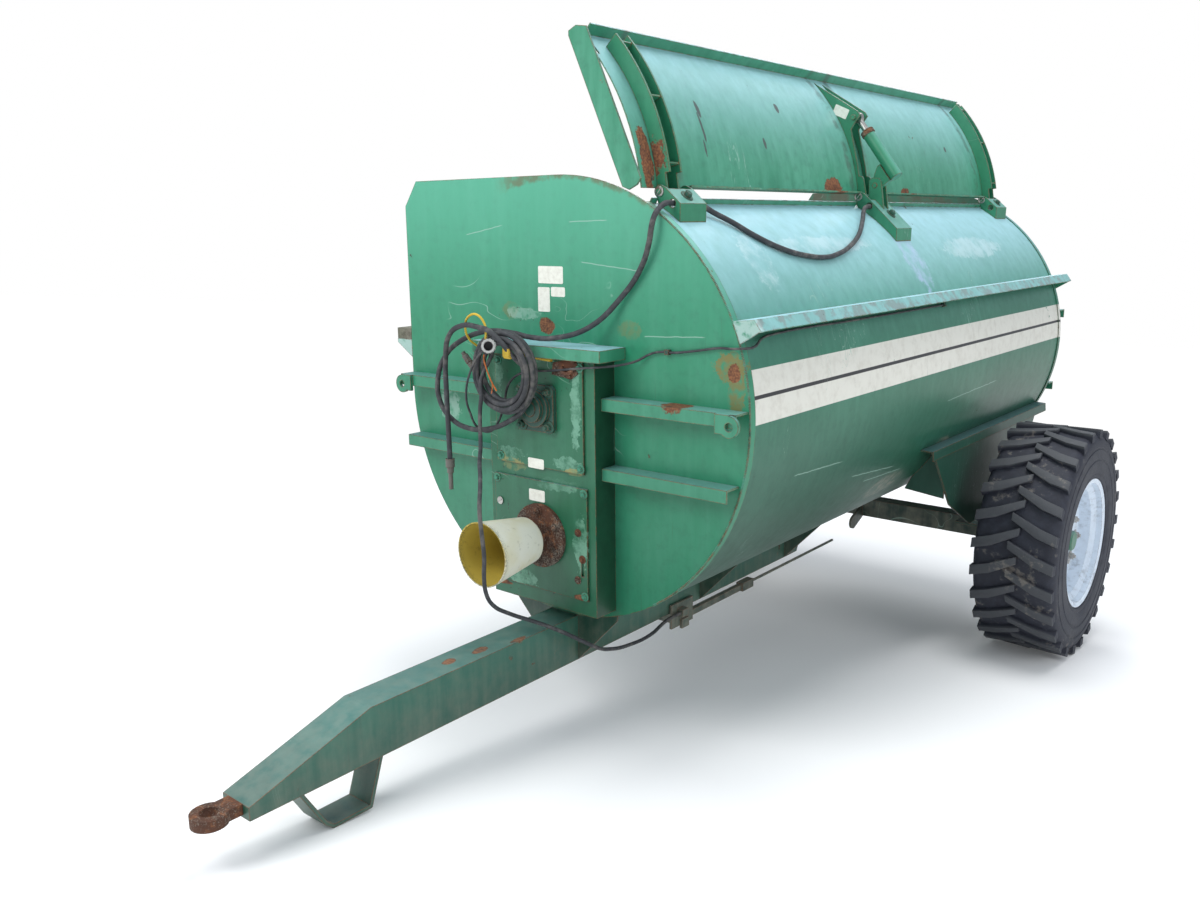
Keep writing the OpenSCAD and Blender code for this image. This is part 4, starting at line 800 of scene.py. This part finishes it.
FINISH = {
    "green": steel_paint("green_paint"),
    # The plate is darkened towards its bottom as painted shade
    "plate": steel_paint("plate_paint", base=(0.018, 0.215, 0.110), marks=plate_marks, painted_low_shade=(0.1, -0.7, 0.30),
                         fade=0.4,
                         patches=[((-0.054, 0, 0.262), (0.036, 1, 0.030)), ((0.700, 0, 0.160), (0.022, 1, 0.030))]),
    # The box's faces that look to the machine's left are darkened as painted shade
    "box": steel_paint("box_paint", base=(0.012, 0.120, 0.055), fade=0.2, painted_side_shade=0.75, sky=0.35, marks=box_marks,
                       patches=[((0.175, -0.11, -0.64), (0.03, 0.05, 0.012)),
                                ((-0.20, -0.11, -0.66), (0.05, 0.05, 0.010))]),
    "ribs": steel_paint("rib_paint", chips=0.8, dust=0.7, sky=0.25,
                        patches=[((0.515, -0.03, 0.045), (0.05, 0.05, 0.03))]),
    # The drum's base colour is darker than the other green as painted shade, and its lower half is darkened as painted
    # shade
    "drum": steel_paint("drum_paint", base=(0.022, 0.150, 0.088), stripe=True, chips=0.35, fade=0.35, sky=0.4,
                        painted_low_shade=(0.15, -0.55, 0.72), marks=drum_marks),
    "cover": steel_paint("cover_paint", fade=0.6, chips=0.45, sky=0.78, marks=cover_marks),
    "lid": steel_paint("lid_paint", fade=0.8, chips=0.5, dust=0.15, sky=0.75, marks=lid_marks,
                       patches=[((0.354, 1.270, 0.735), (0.06, 0.075, 0.038)),
                                ((0.355, 1.964, 0.726), (0.06, 0.045, 0.018)),
                                ((0.341, 0.041, 0.804), (0.08, 0.030, 0.110))]),
    "frame": steel_paint("frame_paint", base=(0.020, 0.190, 0.095), fade=0.25, chips=0.7, dust=0.15, sky=0.25,
                         patches=[((0.330, 0.062, 0.800), (0.08, 0.020, 0.080))]),
    "bars": steel_paint("bar_paint", fade=1.0, chips=0.9, dust=0.15, sky=0.8),
    # The beam is darkened towards its bottom as painted shade
    "beam": steel_paint("beam_paint", base=(0.012, 0.105, 0.070), chips=0.85, dust=0.25, fade=0.15, sky=0.12,
                        painted_low_shade=(-0.76, -0.95, 0.4),
                        patches=[((0, -0.557, -0.762), (0.018, 0.030, 0.02)),
                                 ((0.012, -0.431, -0.762), (0.02, 0.03, 0.02)),
                                 ((0.050, -0.295, -0.762), (0.012, 0.04, 0.02))]),
    "saddle": steel_paint("saddle_paint", base=(0.010, 0.070, 0.045), chips=0.6, dust=0.35, fade=0.1, sky=0.2),
    "dark": steel_paint("dark_paint", base=(0.010, 0.050, 0.036), chips=0.6, dust=0.6, fade=0.1, sky=0.1),
    "rust": rusty_iron("rusty_iron"),
    "steel": bare_steel("bare_steel"),
    "coupler": plain_paint("coupler_steel", (0.12, 0.115, 0.10), 1.4, 0.4, 0.8),
    "grey": plain_paint("grey_plastic", (0.42, 0.43, 0.42), 0.4, 0.5, 0.5),
    "rubber": dull_rubber("hose_rubber", dust=0.2),
    "tyre": tyre_rubber("tyre_rubber"),
    "rim": plain_paint("rim_paint", (0.66, 0.74, 0.83), 0.6),
    "guard": guard_plastic("guard_plastic"),
    "plug": plain_paint("plug_plastic", (0.05, 0.05, 0.055), 0.0, 0.5),
    "timber": timber("rail_timber"),
    "label": white_label("blank_label"),
    "green_bolt": plain_paint("bolt_paint", (0.045, 0.240, 0.150), 1.0),
    "dark_bolt": plain_paint("dark_bolt_paint", (0.020, 0.090, 0.060), 1.2, 0.5, 0.5),
    "wheel_nut": plain_paint("wheel_nut_zinc", (0.42, 0.42, 0.41), 0.8, 0.35, 0.5),
    "yellow": plain_paint("yellow_paint", (0.62, 0.42, 0.03), 1.0, 0.45, 0.3),
    "orange": plain_paint("orange_string", (0.55, 0.16, 0.04), 0.0, 0.85, 0.3),
}

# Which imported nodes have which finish; the others are plain green
DRESS = {
    "plate": ["front_plate"],
    "box": ["drive_box", "box_panel", "box_plate"],
    "bars": ["lid_end_bars", "box_cap"],
    "ribs": ["front_ribs"],
    "drum": ["drum_shell", "rear_plate"],
    "cover": ["top_cover", "side_lip"],
    "lid": ["lid_skin"],
    "frame": ["lid_ribs", "lid_lever", "hinge_brackets", "ram_arm", "ram_cylinder"],
    "beam": ["drawbar", "skid"],
    "saddle": ["beam_saddles", "saddles"],
    "dark": ["axle", "brakes", "handbrake", "brake_rod", "front_bearing", "rear_bearing", "rotor_tube", "cable_clips"],
    "rust": ["tow_eye", "input_flange", "rotor_chains"],
    "steel": ["input_shaft", "ram_rod"],
    "coupler": ["hose_coupler"],
    "rubber": ["ram_hose", "hose_coil", "hose_tail", "brake_hose", "light_cable"],
    "tyre": ["tyre_left", "tyre_right"],
    "rim": ["rim_left", "rim_right"],
    "guard": ["input_guard"],
    "plug": ["light_plug"],
    "yellow": ["hose_hook"],
    "timber": ["side_rail"],
}


def dress_nodes():
    """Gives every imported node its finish."""
    wanted = {node: finish for finish, nodes in DRESS.items() for node in nodes}
    for name, node in frame["nodes"].items():
        node.data.materials.clear()
        node.data.materials.append(FINISH[wanted.get(name, "green")])


dress_nodes()

for cord in CORDS:
    cord.data.materials.append(FINISH["rubber"])
BRAKE_CONNECTOR.data.materials.append(FINISH["coupler"])


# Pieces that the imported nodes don't have, or have more plainly.
def hex_bolt(across, head, washer=True):
    """A bolt head with its chamfer and washer, standing on Z 0."""
    parts = [turned_bar(across * 0.577, head, head * 0.16, 6, 0.0025 if washer else 0.0)]
    with editing(parts[0]):
        pick(parts[0], "FACE", lambda mid, normal: normal.z > 0.9 and mid.z > head * 0.9)
        bpy.ops.mesh.inset(thickness=across * 0.09)
        bpy.ops.transform.translate(value=(0, 0, head * 0.06))
    if washer:
        parts.append(turned_bar(across * 0.95, 0.0025, 0.0006, 20))
    return joined("bolt", parts)


def nut_on_stud(across, height, stud):
    """A nut with its washer on a stud's end."""
    parts = [turned_bar(across * 0.577, height, height * 0.14, 6, 0.003), turned_bar(across * 0.95, 0.003, 0.0007, 20),
             turned_bar(across * 0.30, height + stud, 0.0015, 12, 0.003)]
    return joined("nut", parts)


def bolt_row(name, master, stands, body, finish):
    """Copies of a bolt at their stands, on one body."""
    return parked(dressed(copies(name, master, stands), finish), body)


def make_bolts():
    """Bolts of the box, the bearings, the hinge brackets and the arm."""
    front = (0, -1, 0)
    corners = [(x, FACE, z) for x in (-0.184, 0.184) for z in (0.147, -0.188)]
    corners += [(x, FACE, z) for x in (-0.205, 0.195) for z in (-0.630, -0.272)]
    bolt_row("panel_bolts", hex_bolt(0.017, 0.008), [facing(place, front, i) for i, place in enumerate(corners)],
             "chassis", "green_bolt")
    rusty = [(0.168, FACE, -0.410), (0.165, FACE, -0.577), (-0.186, FACE, -0.527), (0.186, FACE, -0.500)]
    bolt_row("rusty_bolts", hex_bolt(0.015, 0.007), [facing(place, front, 0.7 * i) for i, place in enumerate(rusty)],
             "chassis", "rust")
    square = [(x, z) for x in (-0.060, 0.060) for z in (-0.060, 0.060)]
    stands = [facing((x, -0.126, z), front, x + z) for x, z in square]
    stands += [facing((x, 3.088, z), (0, 1, 0), x - z) for x, z in square]
    bolt_row("bearing_nuts", nut_on_stud(0.024, 0.013, 0.010), stands, "chassis", "dark_bolt")
    ring = [math.radians(30 + 60 * i) for i in range(6)]
    stands = [facing((0.090 * math.cos(a), -0.124, INPUT_Z + 0.090 * math.sin(a)), front, a) for a in ring]
    bolt_row("flange_nuts", nut_on_stud(0.019, 0.011, 0.006), stands, "chassis", "rust")
    stands = [facing((HINGE[0] + 0.053, y, HINGE[1] - 0.015), (0.655, 0, 0.755), y)
              for y in (BRACKETS[0], BRACKETS[2])]
    stands.append(facing((HINGE[0] + 0.112, BRACKETS[1], HINGE[1] - 0.071), (0.683, 0, 0.730), 0.4))
    bolt_row("bracket_bolts", hex_bolt(0.024, 0.012), stands, "chassis", "dark_bolt")


def make_hinge_ends():
    """Washer and split pin at both ends of each hinge pin."""
    washer = turned_bar(0.0165, 0.003, 0.0006, 20)
    pin = turned_bar(0.0022, 0.034, 0.0006, 8)
    pin.matrix_world = Matrix.Translation((0.017, 0, 0.0045)) @ Matrix.Rotation(math.radians(-90), 4, "Y")
    end = joined("hinge_end", [settled(pin), washer])
    stands = [facing((HINGE[0], y + way * PIN_END, HINGE[1]), (0, way, 0), turn)
              for y in BRACKETS for way, turn in ((-1, 0.9), (1, 0.3))]
    return bolt_row("hinge_washers", end, stands, "chassis", "steel")


def make_nipples():
    """Grease nipples on both bearings and on the input's neck."""
    nipple = joined("nipple", [turned_bar(0.0050, 0.006, 0.0008, 6), turned_bar(0.0032, 0.007, 0.0008, 12, 0.006),
                               turned_bar(0.0040, 0.004, 0.0012, 12, 0.012)])
    stands = [facing((0, -0.142, 0.040), (0, -0.3, 1)), facing((0, 3.104, 0.040), (0, 0.3, 1)),
              facing((0.020, -0.160, INPUT_Z + 0.036), (0.5, -0.2, 1))]
    return bolt_row("grease_nipples", nipple, stands, "chassis", "steel")


# Blank labels: left, right, lower and upper edge, and the face they are on
LABELS = {
    "plate_label_wide": ((-0.089, 0.023, 0.406, 0.464), 0.0), "plate_label_tall": ((-0.092, -0.038, 0.310, 0.393), 0.0),
    "plate_label_small": ((-0.032, 0.031, 0.363, 0.395), 0.0), "panel_label": ((-0.054, 0.019, -0.214, -0.179), FACE),
    "lower_label": ((-0.053, 0.020, -0.330, -0.289), FACE),
}


def blank_label(name, size, corner, segments, rim, stand, body):
    """A thin blank plate with rounded corners and a turned-up rim."""
    label = started(bpy.ops.mesh.primitive_plane_add, size=1)
    label.name = name
    with editing(label):
        bpy.ops.transform.resize(value=(*size, 1))
        bpy.ops.mesh.bevel(offset=corner, segments=segments, affect="VERTICES")
        bpy.ops.mesh.extrude_region_move(TRANSFORM_OT_translate={"value": (0, 0, 0.0009)})
        bpy.ops.mesh.inset(thickness=rim)
        bpy.ops.transform.translate(value=(0, 0, -0.0003))
        bpy.ops.mesh.select_all(action="SELECT")
        bpy.ops.mesh.normals_make_consistent(inside=False)
    label.matrix_world = stand
    return parked(dressed(label, "label"), body)


def make_labels():
    """The blank labels on the front plate and on the box's panels."""
    for name, ((x0, x1, z0, z1), face) in LABELS.items():
        stand = facing(((x0 + x1) / 2, face, (z0 + z1) / 2), (0, -1, 0), math.pi)
        blank_label(name, (x1 - x0, z1 - z0), 0.005, 4, 0.0022, stand, "chassis")


def make_catch():
    """The panel's draw catch, its hook and the keeper above them."""
    base = traced([(0.066, 0.118), (0.150, 0.108), (0.178, 0.126), (0.178, 0.160), (0.150, 0.182), (0.120, 0.168),
                   (0.072, 0.158)], 0.004)
    with editing(base):
        pick(base, "FACE", lambda mid, normal: normal.z > 0.9)
        bpy.ops.mesh.inset(thickness=0.004)
        bpy.ops.mesh.bevel(offset=0.0015, segments=2)
    hook = traced([(0.118, 0.150), (0.104, 0.141), (0.108, 0.128), (0.124, 0.120), (0.146, 0.121), (0.163, 0.132),
                   (0.168, 0.148), (0.156, 0.150), (0.150, 0.138), (0.138, 0.132), (0.124, 0.134), (0.124, 0.143)],
                  0.010, 0.004)
    with editing(hook):
        pick(hook, "EDGE", lambda mid: mid.z > 0.0135)
        bpy.ops.mesh.bevel(offset=0.0018, segments=2)
    parts = [base, hook]
    for x, z in ((0.082, 0.138), (0.163, 0.168), (0.145, 0.117)):
        knob = turned_bar(0.0075, 0.008, 0.0015, 14, 0.004)
        knob.matrix_world = Matrix.Translation((x, z, 0))
        parts.append(settled(knob))
    catch = joined("panel_catch", parts)
    catch.matrix_world = Matrix.Translation((0, FACE, 0)) @ Matrix.Rotation(math.radians(90), 4, "X")
    return parked(dressed(catch, "rust"), "chassis")


def make_key_slot():
    """The panel's turn lock: a disc with a slot, worn to bare metal."""
    disc = turned_bar(0.014, 0.005, 0.001, 24)
    bar = started(bpy.ops.mesh.primitive_cube_add, size=1, location=(0, 0, 0.0058), scale=(0.020, 0.004, 0.004))
    settled(bar)
    with editing(bar):
        bpy.ops.mesh.bevel(offset=0.0008, segments=2)
    lock = joined("panel_lock", [disc, bar])
    lock.matrix_world = facing((-0.192, FACE, -0.354), (0, -1, 0), 0.5)
    return parked(dressed(lock, "steel"), "chassis")


def make_coil_tie():
    """What ties the coil up: a yellow bar, a yellow hook over the strands and the end of an orange string."""
    bent_bar("tie_bar", [(-0.103, -0.118, 0.180), (-0.060, -0.119, 0.176), (0.005, -0.119, 0.170),
                         (0.070, -0.118, 0.166)], 0.014, "chassis", "yellow")
    bent_bar("coil_hook", [(-0.246, -0.150, 0.196), (-0.250, -0.182, 0.222), (-0.232, -0.214, 0.270),
                           (-0.196, -0.228, 0.306), (-0.166, -0.224, 0.312), (-0.142, -0.214, 0.286),
                           (-0.130, -0.218, 0.250), (-0.128, -0.222, 0.232)], 0.008, "chassis", "yellow")
    bent_bar("string_tie", [(-0.147, -0.213, 0.178), (-0.139, -0.222, 0.160), (-0.128, -0.224, 0.138),
                            (-0.120, -0.221, 0.112), (-0.106, -0.219, 0.086), (-0.090, -0.216, 0.061)],
             0.005, "chassis", "orange")
    bent_bar("string_fray", [(-0.106, -0.220, 0.086), (-0.101, -0.225, 0.070), (-0.103, -0.228, 0.052)],
             0.003, "chassis", "orange")


# Radius of the ring of a wheel's studs
STUD_RING = 0.1025


def make_wheel_nuts():
    """Six nuts on studs and a valve on each wheel."""
    for side, body in ((1, "wheel_left"), (-1, "wheel_right")):
        ring = [math.radians(60 * i) for i in range(6)]
        out = side * 1.0955
        stands = [facing((out, HUB_Y + STUD_RING * math.cos(a), HUB_Z + STUD_RING * math.sin(a)), (side, 0, 0), a)
                  for a in ring]
        bolt_row(body + "_nuts", nut_on_stud(0.027, 0.016, 0.008), stands, body, "wheel_nut")
        valve = joined(body + "_valve", [turned_bar(0.0045, 0.040, 0.001, 12),
                                         turned_bar(0.0058, 0.010, 0.0015, 12, 0.030)])
        valve.matrix_world = facing((side * 1.128, HUB_Y - 0.236, HUB_Z - 0.060), (side * 0.8, -0.5, -0.2))
        parked(dressed(valve, "plug"), body)


# A tyre: lugs in each row, radius over them as packed, where their tops lie, their height and the tyre's width
LUGS = 26
TYRE_R = 0.525
LUG_OUT = 0.5216
LUG_HIGH = 0.040
TYRE_W = 0.358
# A lug's outline: its way in across the tread as a share of the tread's width, and its place along the tread
TREAD_W = 0.350
LUG_OUTLINE = [(0.0, -0.060), (0.24, -0.036), (0.56, 0.026), (0.56, 0.060), (0.22, 0.008), (0.0, -0.016)]


def make_tyre(side, body, node):
    """A tyre: a turned carcass with ribs on its sides and bent lugs in two staggered rows."""
    half = [(0.2986, 0.020), (0.303, 0.007), (0.316, 0.003), (0.322, 0.0045), (0.330, 0.001), (0.380, 0.0),
            (0.384, 0.003), (0.390, 0.003), (0.394, 0.0), (0.430, 0.0012), (0.434, 0.0045), (0.440, 0.0045),
            (0.444, 0.0015), (0.468, 0.003), (0.486, 0.010), (0.497, 0.022), (0.501, 0.040)]
    far = [(radius, TYRE_W - depth) for radius, depth in reversed(half)]
    inside = [(0.2765, 0.324), (0.2765, 0.306), (0.328, 0.318), (0.477, 0.312), (0.477, 0.046), (0.328, 0.040),
              (0.2866, 0.052), (0.2866, 0.026)]
    carcass = spun(half + far + inside, 104)
    lug = traced([(0.004 + x * TREAD_W, y) for x, y in LUG_OUTLINE], LUG_HIGH)
    with editing(lug):
        pick(lug, "EDGE", lambda mid: mid.z > LUG_HIGH - 0.001)
        bpy.ops.mesh.bevel(offset=0.0035, segments=2)
    first = (math.pi + PITCH if side > 0 else -PITCH) + math.asin(0.060 / TYRE_R)
    # A lug's own X is its way in across the tread, its Y runs round the wheel and its Z stands out from it
    upright = Matrix(((0, 0, 1, LUG_OUT - LUG_HIGH), (0, 1, 0, 0), (1, 0, 0, 0), (0, 0, 0, 1)))
    mirrored = Matrix.Translation((0, 0, TYRE_W)) @ Matrix.Scale(-1, 4, (0, 0, 1))
    stands = []
    for row, flip in ((0, Matrix.Identity(4)), (1, mirrored)):
        for i in range(LUGS):
            stands.append(flip @ Matrix.Rotation(first + (i + row / 2) * math.tau / LUGS, 4, "Z") @ upright)
    lugs = settled(copies("lugs", lug, stands))
    with editing(lugs):
        bpy.ops.mesh.normals_make_consistent(inside=False)
    tyre = joined(body + "_tyre", [lugs, carcass])
    upended = Matrix.Rotation(math.radians(-90 * side), 4, "Y")
    tyre.matrix_world = Matrix.Translation((side * WHEEL_OUT, HUB_Y, HUB_Z)) @ upended
    parked(dressed(tyre, "tyre"), body)
    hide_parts(node)


# The rotor's chains: their distance from its axis, the first one's place, their pitch, how many there are on each
# side, how far the first link hangs, and the links in a chain with a link's length, width and wire
CHAIN_X = 0.095
CHAIN_FIRST = 0.168
CHAIN_PITCH = 2.736 / 11
CHAINS = 6
CHAIN_HANG = 0.0076
LINKS = 6
LINK = (0.100, 0.056, 0.014)


def make_chains():
    """The rotor's chains of round wire links, each turned a quarter from the last."""
    length, width, wire = LINK
    link = started(bpy.ops.mesh.primitive_torus_add, major_radius=(width - wire) / 2, minor_radius=wire / 2,
                   major_segments=12, minor_segments=6, rotation=(math.radians(90), 0, 0))
    settled(link)
    with editing(link):
        for way in (1, -1):
            pick(link, "VERT", lambda spot: spot.z * way > 1e-4)
            bpy.ops.transform.translate(value=(0, 0, way * (length - width) / 2))
    inner = length - 2 * wire
    stands = []
    for i in range(CHAINS):
        for side in (0, 1):
            for k in range(LINKS):
                place = (CHAIN_X * (1 - 2 * side), CHAIN_FIRST + CHAIN_PITCH * (2 * i + side),
                         -CHAIN_HANG - inner / 2 - k * (inner - 0.0002))
                stands.append(Matrix.Translation(place) @ Matrix.Rotation(math.radians(90 * (1 - k % 2)), 4, "Z"))
    chains = copies("chain_links", link, stands)
    parked(dressed(chains, "rust"), "rotor")
    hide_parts("rotor_chains")


def make_plug_ring():
    """The lamp plug's grey coupling ring with its grips."""
    ring = spun([(0.0192, 0), (0.0225, 0), (0.0232, 0.002), (0.0232, 0.015), (0.0222, 0.0182), (0.0150, 0.0182),
                 (0.0150, 0.0162), (0.0192, 0.0162)], 32)
    grip = turned_bar(0.0016, 0.0110, 0.0004, 8, 0.003)
    grip.matrix_world = Matrix.Translation((0.0232, 0, 0))
    settled(grip)
    grips = copies("grips", grip, [Matrix.Rotation(math.tau * i / 14, 4, "Z") for i in range(14)])
    ring = joined("plug_ring", [grips, ring])
    ring.matrix_world = facing(PLUG_COLLAR, PLUG_WAY)
    return parked(dressed(ring, "grey"), "chassis")


def beads(path, size=0.0042, apart=0.0046):
    """Stands for the beads of a weld along a path, each a little different."""
    stands, i = [], 0
    for a, b in zip(path, path[1:]):
        a, b = Vector(a), Vector(b)
        run = int((b - a).length / apart)
        for k in range(run):
            i += 1
            spot = a.lerp(b, k / run)
            wide = size * (1 + 0.22 * math.sin(2.3 * i) * math.cos(1.1 * i))
            stands.append(facing(spot, b - a) @ Matrix.Diagonal((wide, wide, size * 0.9, 1)))
    return stands


def round_drum(y, radius, start, end, step=4):
    """Points round the drum's axis at a place along it."""
    turns = [math.radians(angle) for angle in range(start, end + 1, step)]
    return [(radius * math.cos(turn), y, radius * math.sin(turn)) for turn in turns]


# Seams with beads: their paths, their body and their finish
WELDS = {
    "plate_weld": ([round_drum(-0.0002, 0.7600, -58, 60)], "chassis", "green"),
    "input_weld": ([[(0.0625 * math.cos(a / 8 * math.pi), -0.124, INPUT_Z + 0.0625 * math.sin(a / 8 * math.pi))
                     for a in range(17)]], "chassis", "rust"),
}


def make_welds():
    """Rows of beads along the seams that show."""
    for name, (paths, body, finish) in WELDS.items():
        bead = started(bpy.ops.mesh.primitive_ico_sphere_add, subdivisions=1, radius=1)
        with editing(bead):
            pick(bead, "VERT", lambda spot: abs(spot.z) > 0.8)
            bpy.ops.transform.resize(value=(1.15, 1.15, 0.8), center_override=(0, 0, 0))
        stands = [stand for path in paths for stand in beads(path)]
        parked(dressed(copies(name, bead, stands), finish), body, sharp=80)


def make_lever_label():
    """The blank label on the lever's side, moving with the lid."""
    stand = facing(LEVER_LABEL, (0, -1, 0), LEVER_LEAN)
    return blank_label("lever_label", (0.068, 0.040), 0.004, 3, 0.0018, stand, "lid")


def make_gland():
    """The ram's rusty gland ring with two spanner notches, round the barrel's mouth."""
    base, rod = Vector((RAM_BASE[0], 0, RAM_BASE[1])), Vector((RAM_TOP[0], 0, RAM_TOP[1]))
    reach = rod - base
    turn = math.atan2(reach.z, reach.x) + math.asin(RAM_SIDE / reach.length)
    along, off = Vector((math.cos(turn), 0, math.sin(turn))), Vector((math.sin(turn), 0, -math.cos(turn)))
    ring = spun([(RAM_R + 0.0006, 0), (RAM_R + 0.0024, 0), (RAM_R + 0.0032, 0.001), (RAM_R + 0.0032, 0.011),
                 (RAM_R + 0.0018, 0.0125), (RAM_R + 0.0018, 0.0165), (RAM_R + 0.0032, 0.018), (RAM_R + 0.0024, 0.020),
                 (RAM_R + 0.0006, 0.020)], 40)
    ring.name = "ram_gland"
    place = base + off * RAM_SIDE + along * 0.191
    ring.matrix_world = facing((place.x, BRACKETS[1], place.z), along)
    return parked(dressed(ring, "rust"), "ram_cylinder")


make_plug_ring()
make_lever_label()
make_gland()
make_welds()
make_bolts()
make_hinge_ends()
make_nipples()
make_labels()
make_catch()
make_key_slot()
make_coil_tie()
make_wheel_nuts()
make_tyre(1, "wheel_left", "tyre_left")
make_tyre(-1, "wheel_right", "tyre_right")
make_chains()


def make_stage():
    """Pale floor, pale surroundings and soft lamps."""
    floor = started(bpy.ops.mesh.primitive_plane_add, size=120)
    floor.name = "floor"
    f = Finish("floor_paint")
    reach = f.node("ShaderNodeVectorMath", {"operation": "LENGTH"}, {0: f.object_place}, "Value")
    away = reach.rise(2.5, 9.0)
    pale = f.mix(f.noise(0.6, 3) * 0.1, (0.86, 0.86, 0.86), (0.80, 0.80, 0.80))
    pale = f.mix(away, pale, (0.05, 0.05, 0.05))
    glow = f.mix(away, (0.06, 0.06, 0.06), (1.0, 1.0, 1.0))
    floor.data.materials.append(f.close(pale, 0.9, Emission_Color=glow, Emission_Strength=1.0, Specular_IOR_Level=0.0))
    world = bpy.data.worlds.new("surroundings")
    bpy.context.scene.world = world
    world.use_nodes = True
    nodes, links = world.node_tree.nodes, world.node_tree.links
    nodes.clear()
    path = nodes.new("ShaderNodeLightPath")
    seen = nodes.new("ShaderNodeMath")
    seen.operation = "MAXIMUM"
    links.new(path.outputs["Is Camera Ray"], seen.inputs[0])
    links.new(path.outputs["Is Transmission Ray"], seen.inputs[1])
    sky, backdrop = nodes.new("ShaderNodeBackground"), nodes.new("ShaderNodeBackground")
    sky.inputs["Color"].default_value = (0.80, 0.89, 1.0, 1)
    sky.inputs["Strength"].default_value = 0.55
    backdrop.inputs["Color"].default_value = (1.0, 1.0, 1.0, 1)
    choose, output = nodes.new("ShaderNodeMixShader"), nodes.new("ShaderNodeOutputWorld")
    links.new(seen.outputs[0], choose.inputs[0])
    links.new(sky.outputs[0], choose.inputs[1])
    links.new(backdrop.outputs[0], choose.inputs[2])
    links.new(choose.outputs[0], output.inputs["Surface"])
    # Name, place, size and power of each soft lamp, all aimed at the drum's middle
    for name, place, size, power in [("key", (-2.0, -7.0, 6.0), 5.0, 430), ("fill", (7.0, -1.0, 4.5), 5.0, 150),
                                     ("top", (0.5, 0.5, 8.5), 5.0, 460), ("back", (-3.0, 7.0, 6.0), 5.0, 240)]:
        light = bpy.data.lights.new(name, "AREA")
        light.shape, light.size, light.energy = "DISK", size, power
        lamp = bpy.data.objects.new(name, light)
        bpy.context.scene.collection.objects.link(lamp)
        lamp.location = place
        lamp.rotation_euler = (Vector((0, 0, 1.2)) - Vector(place)).to_track_quat("-Z", "Y").to_euler()
    bpy.context.scene.view_settings.view_transform = "Standard"


make_stage()

bpy.context.view_layer.update()
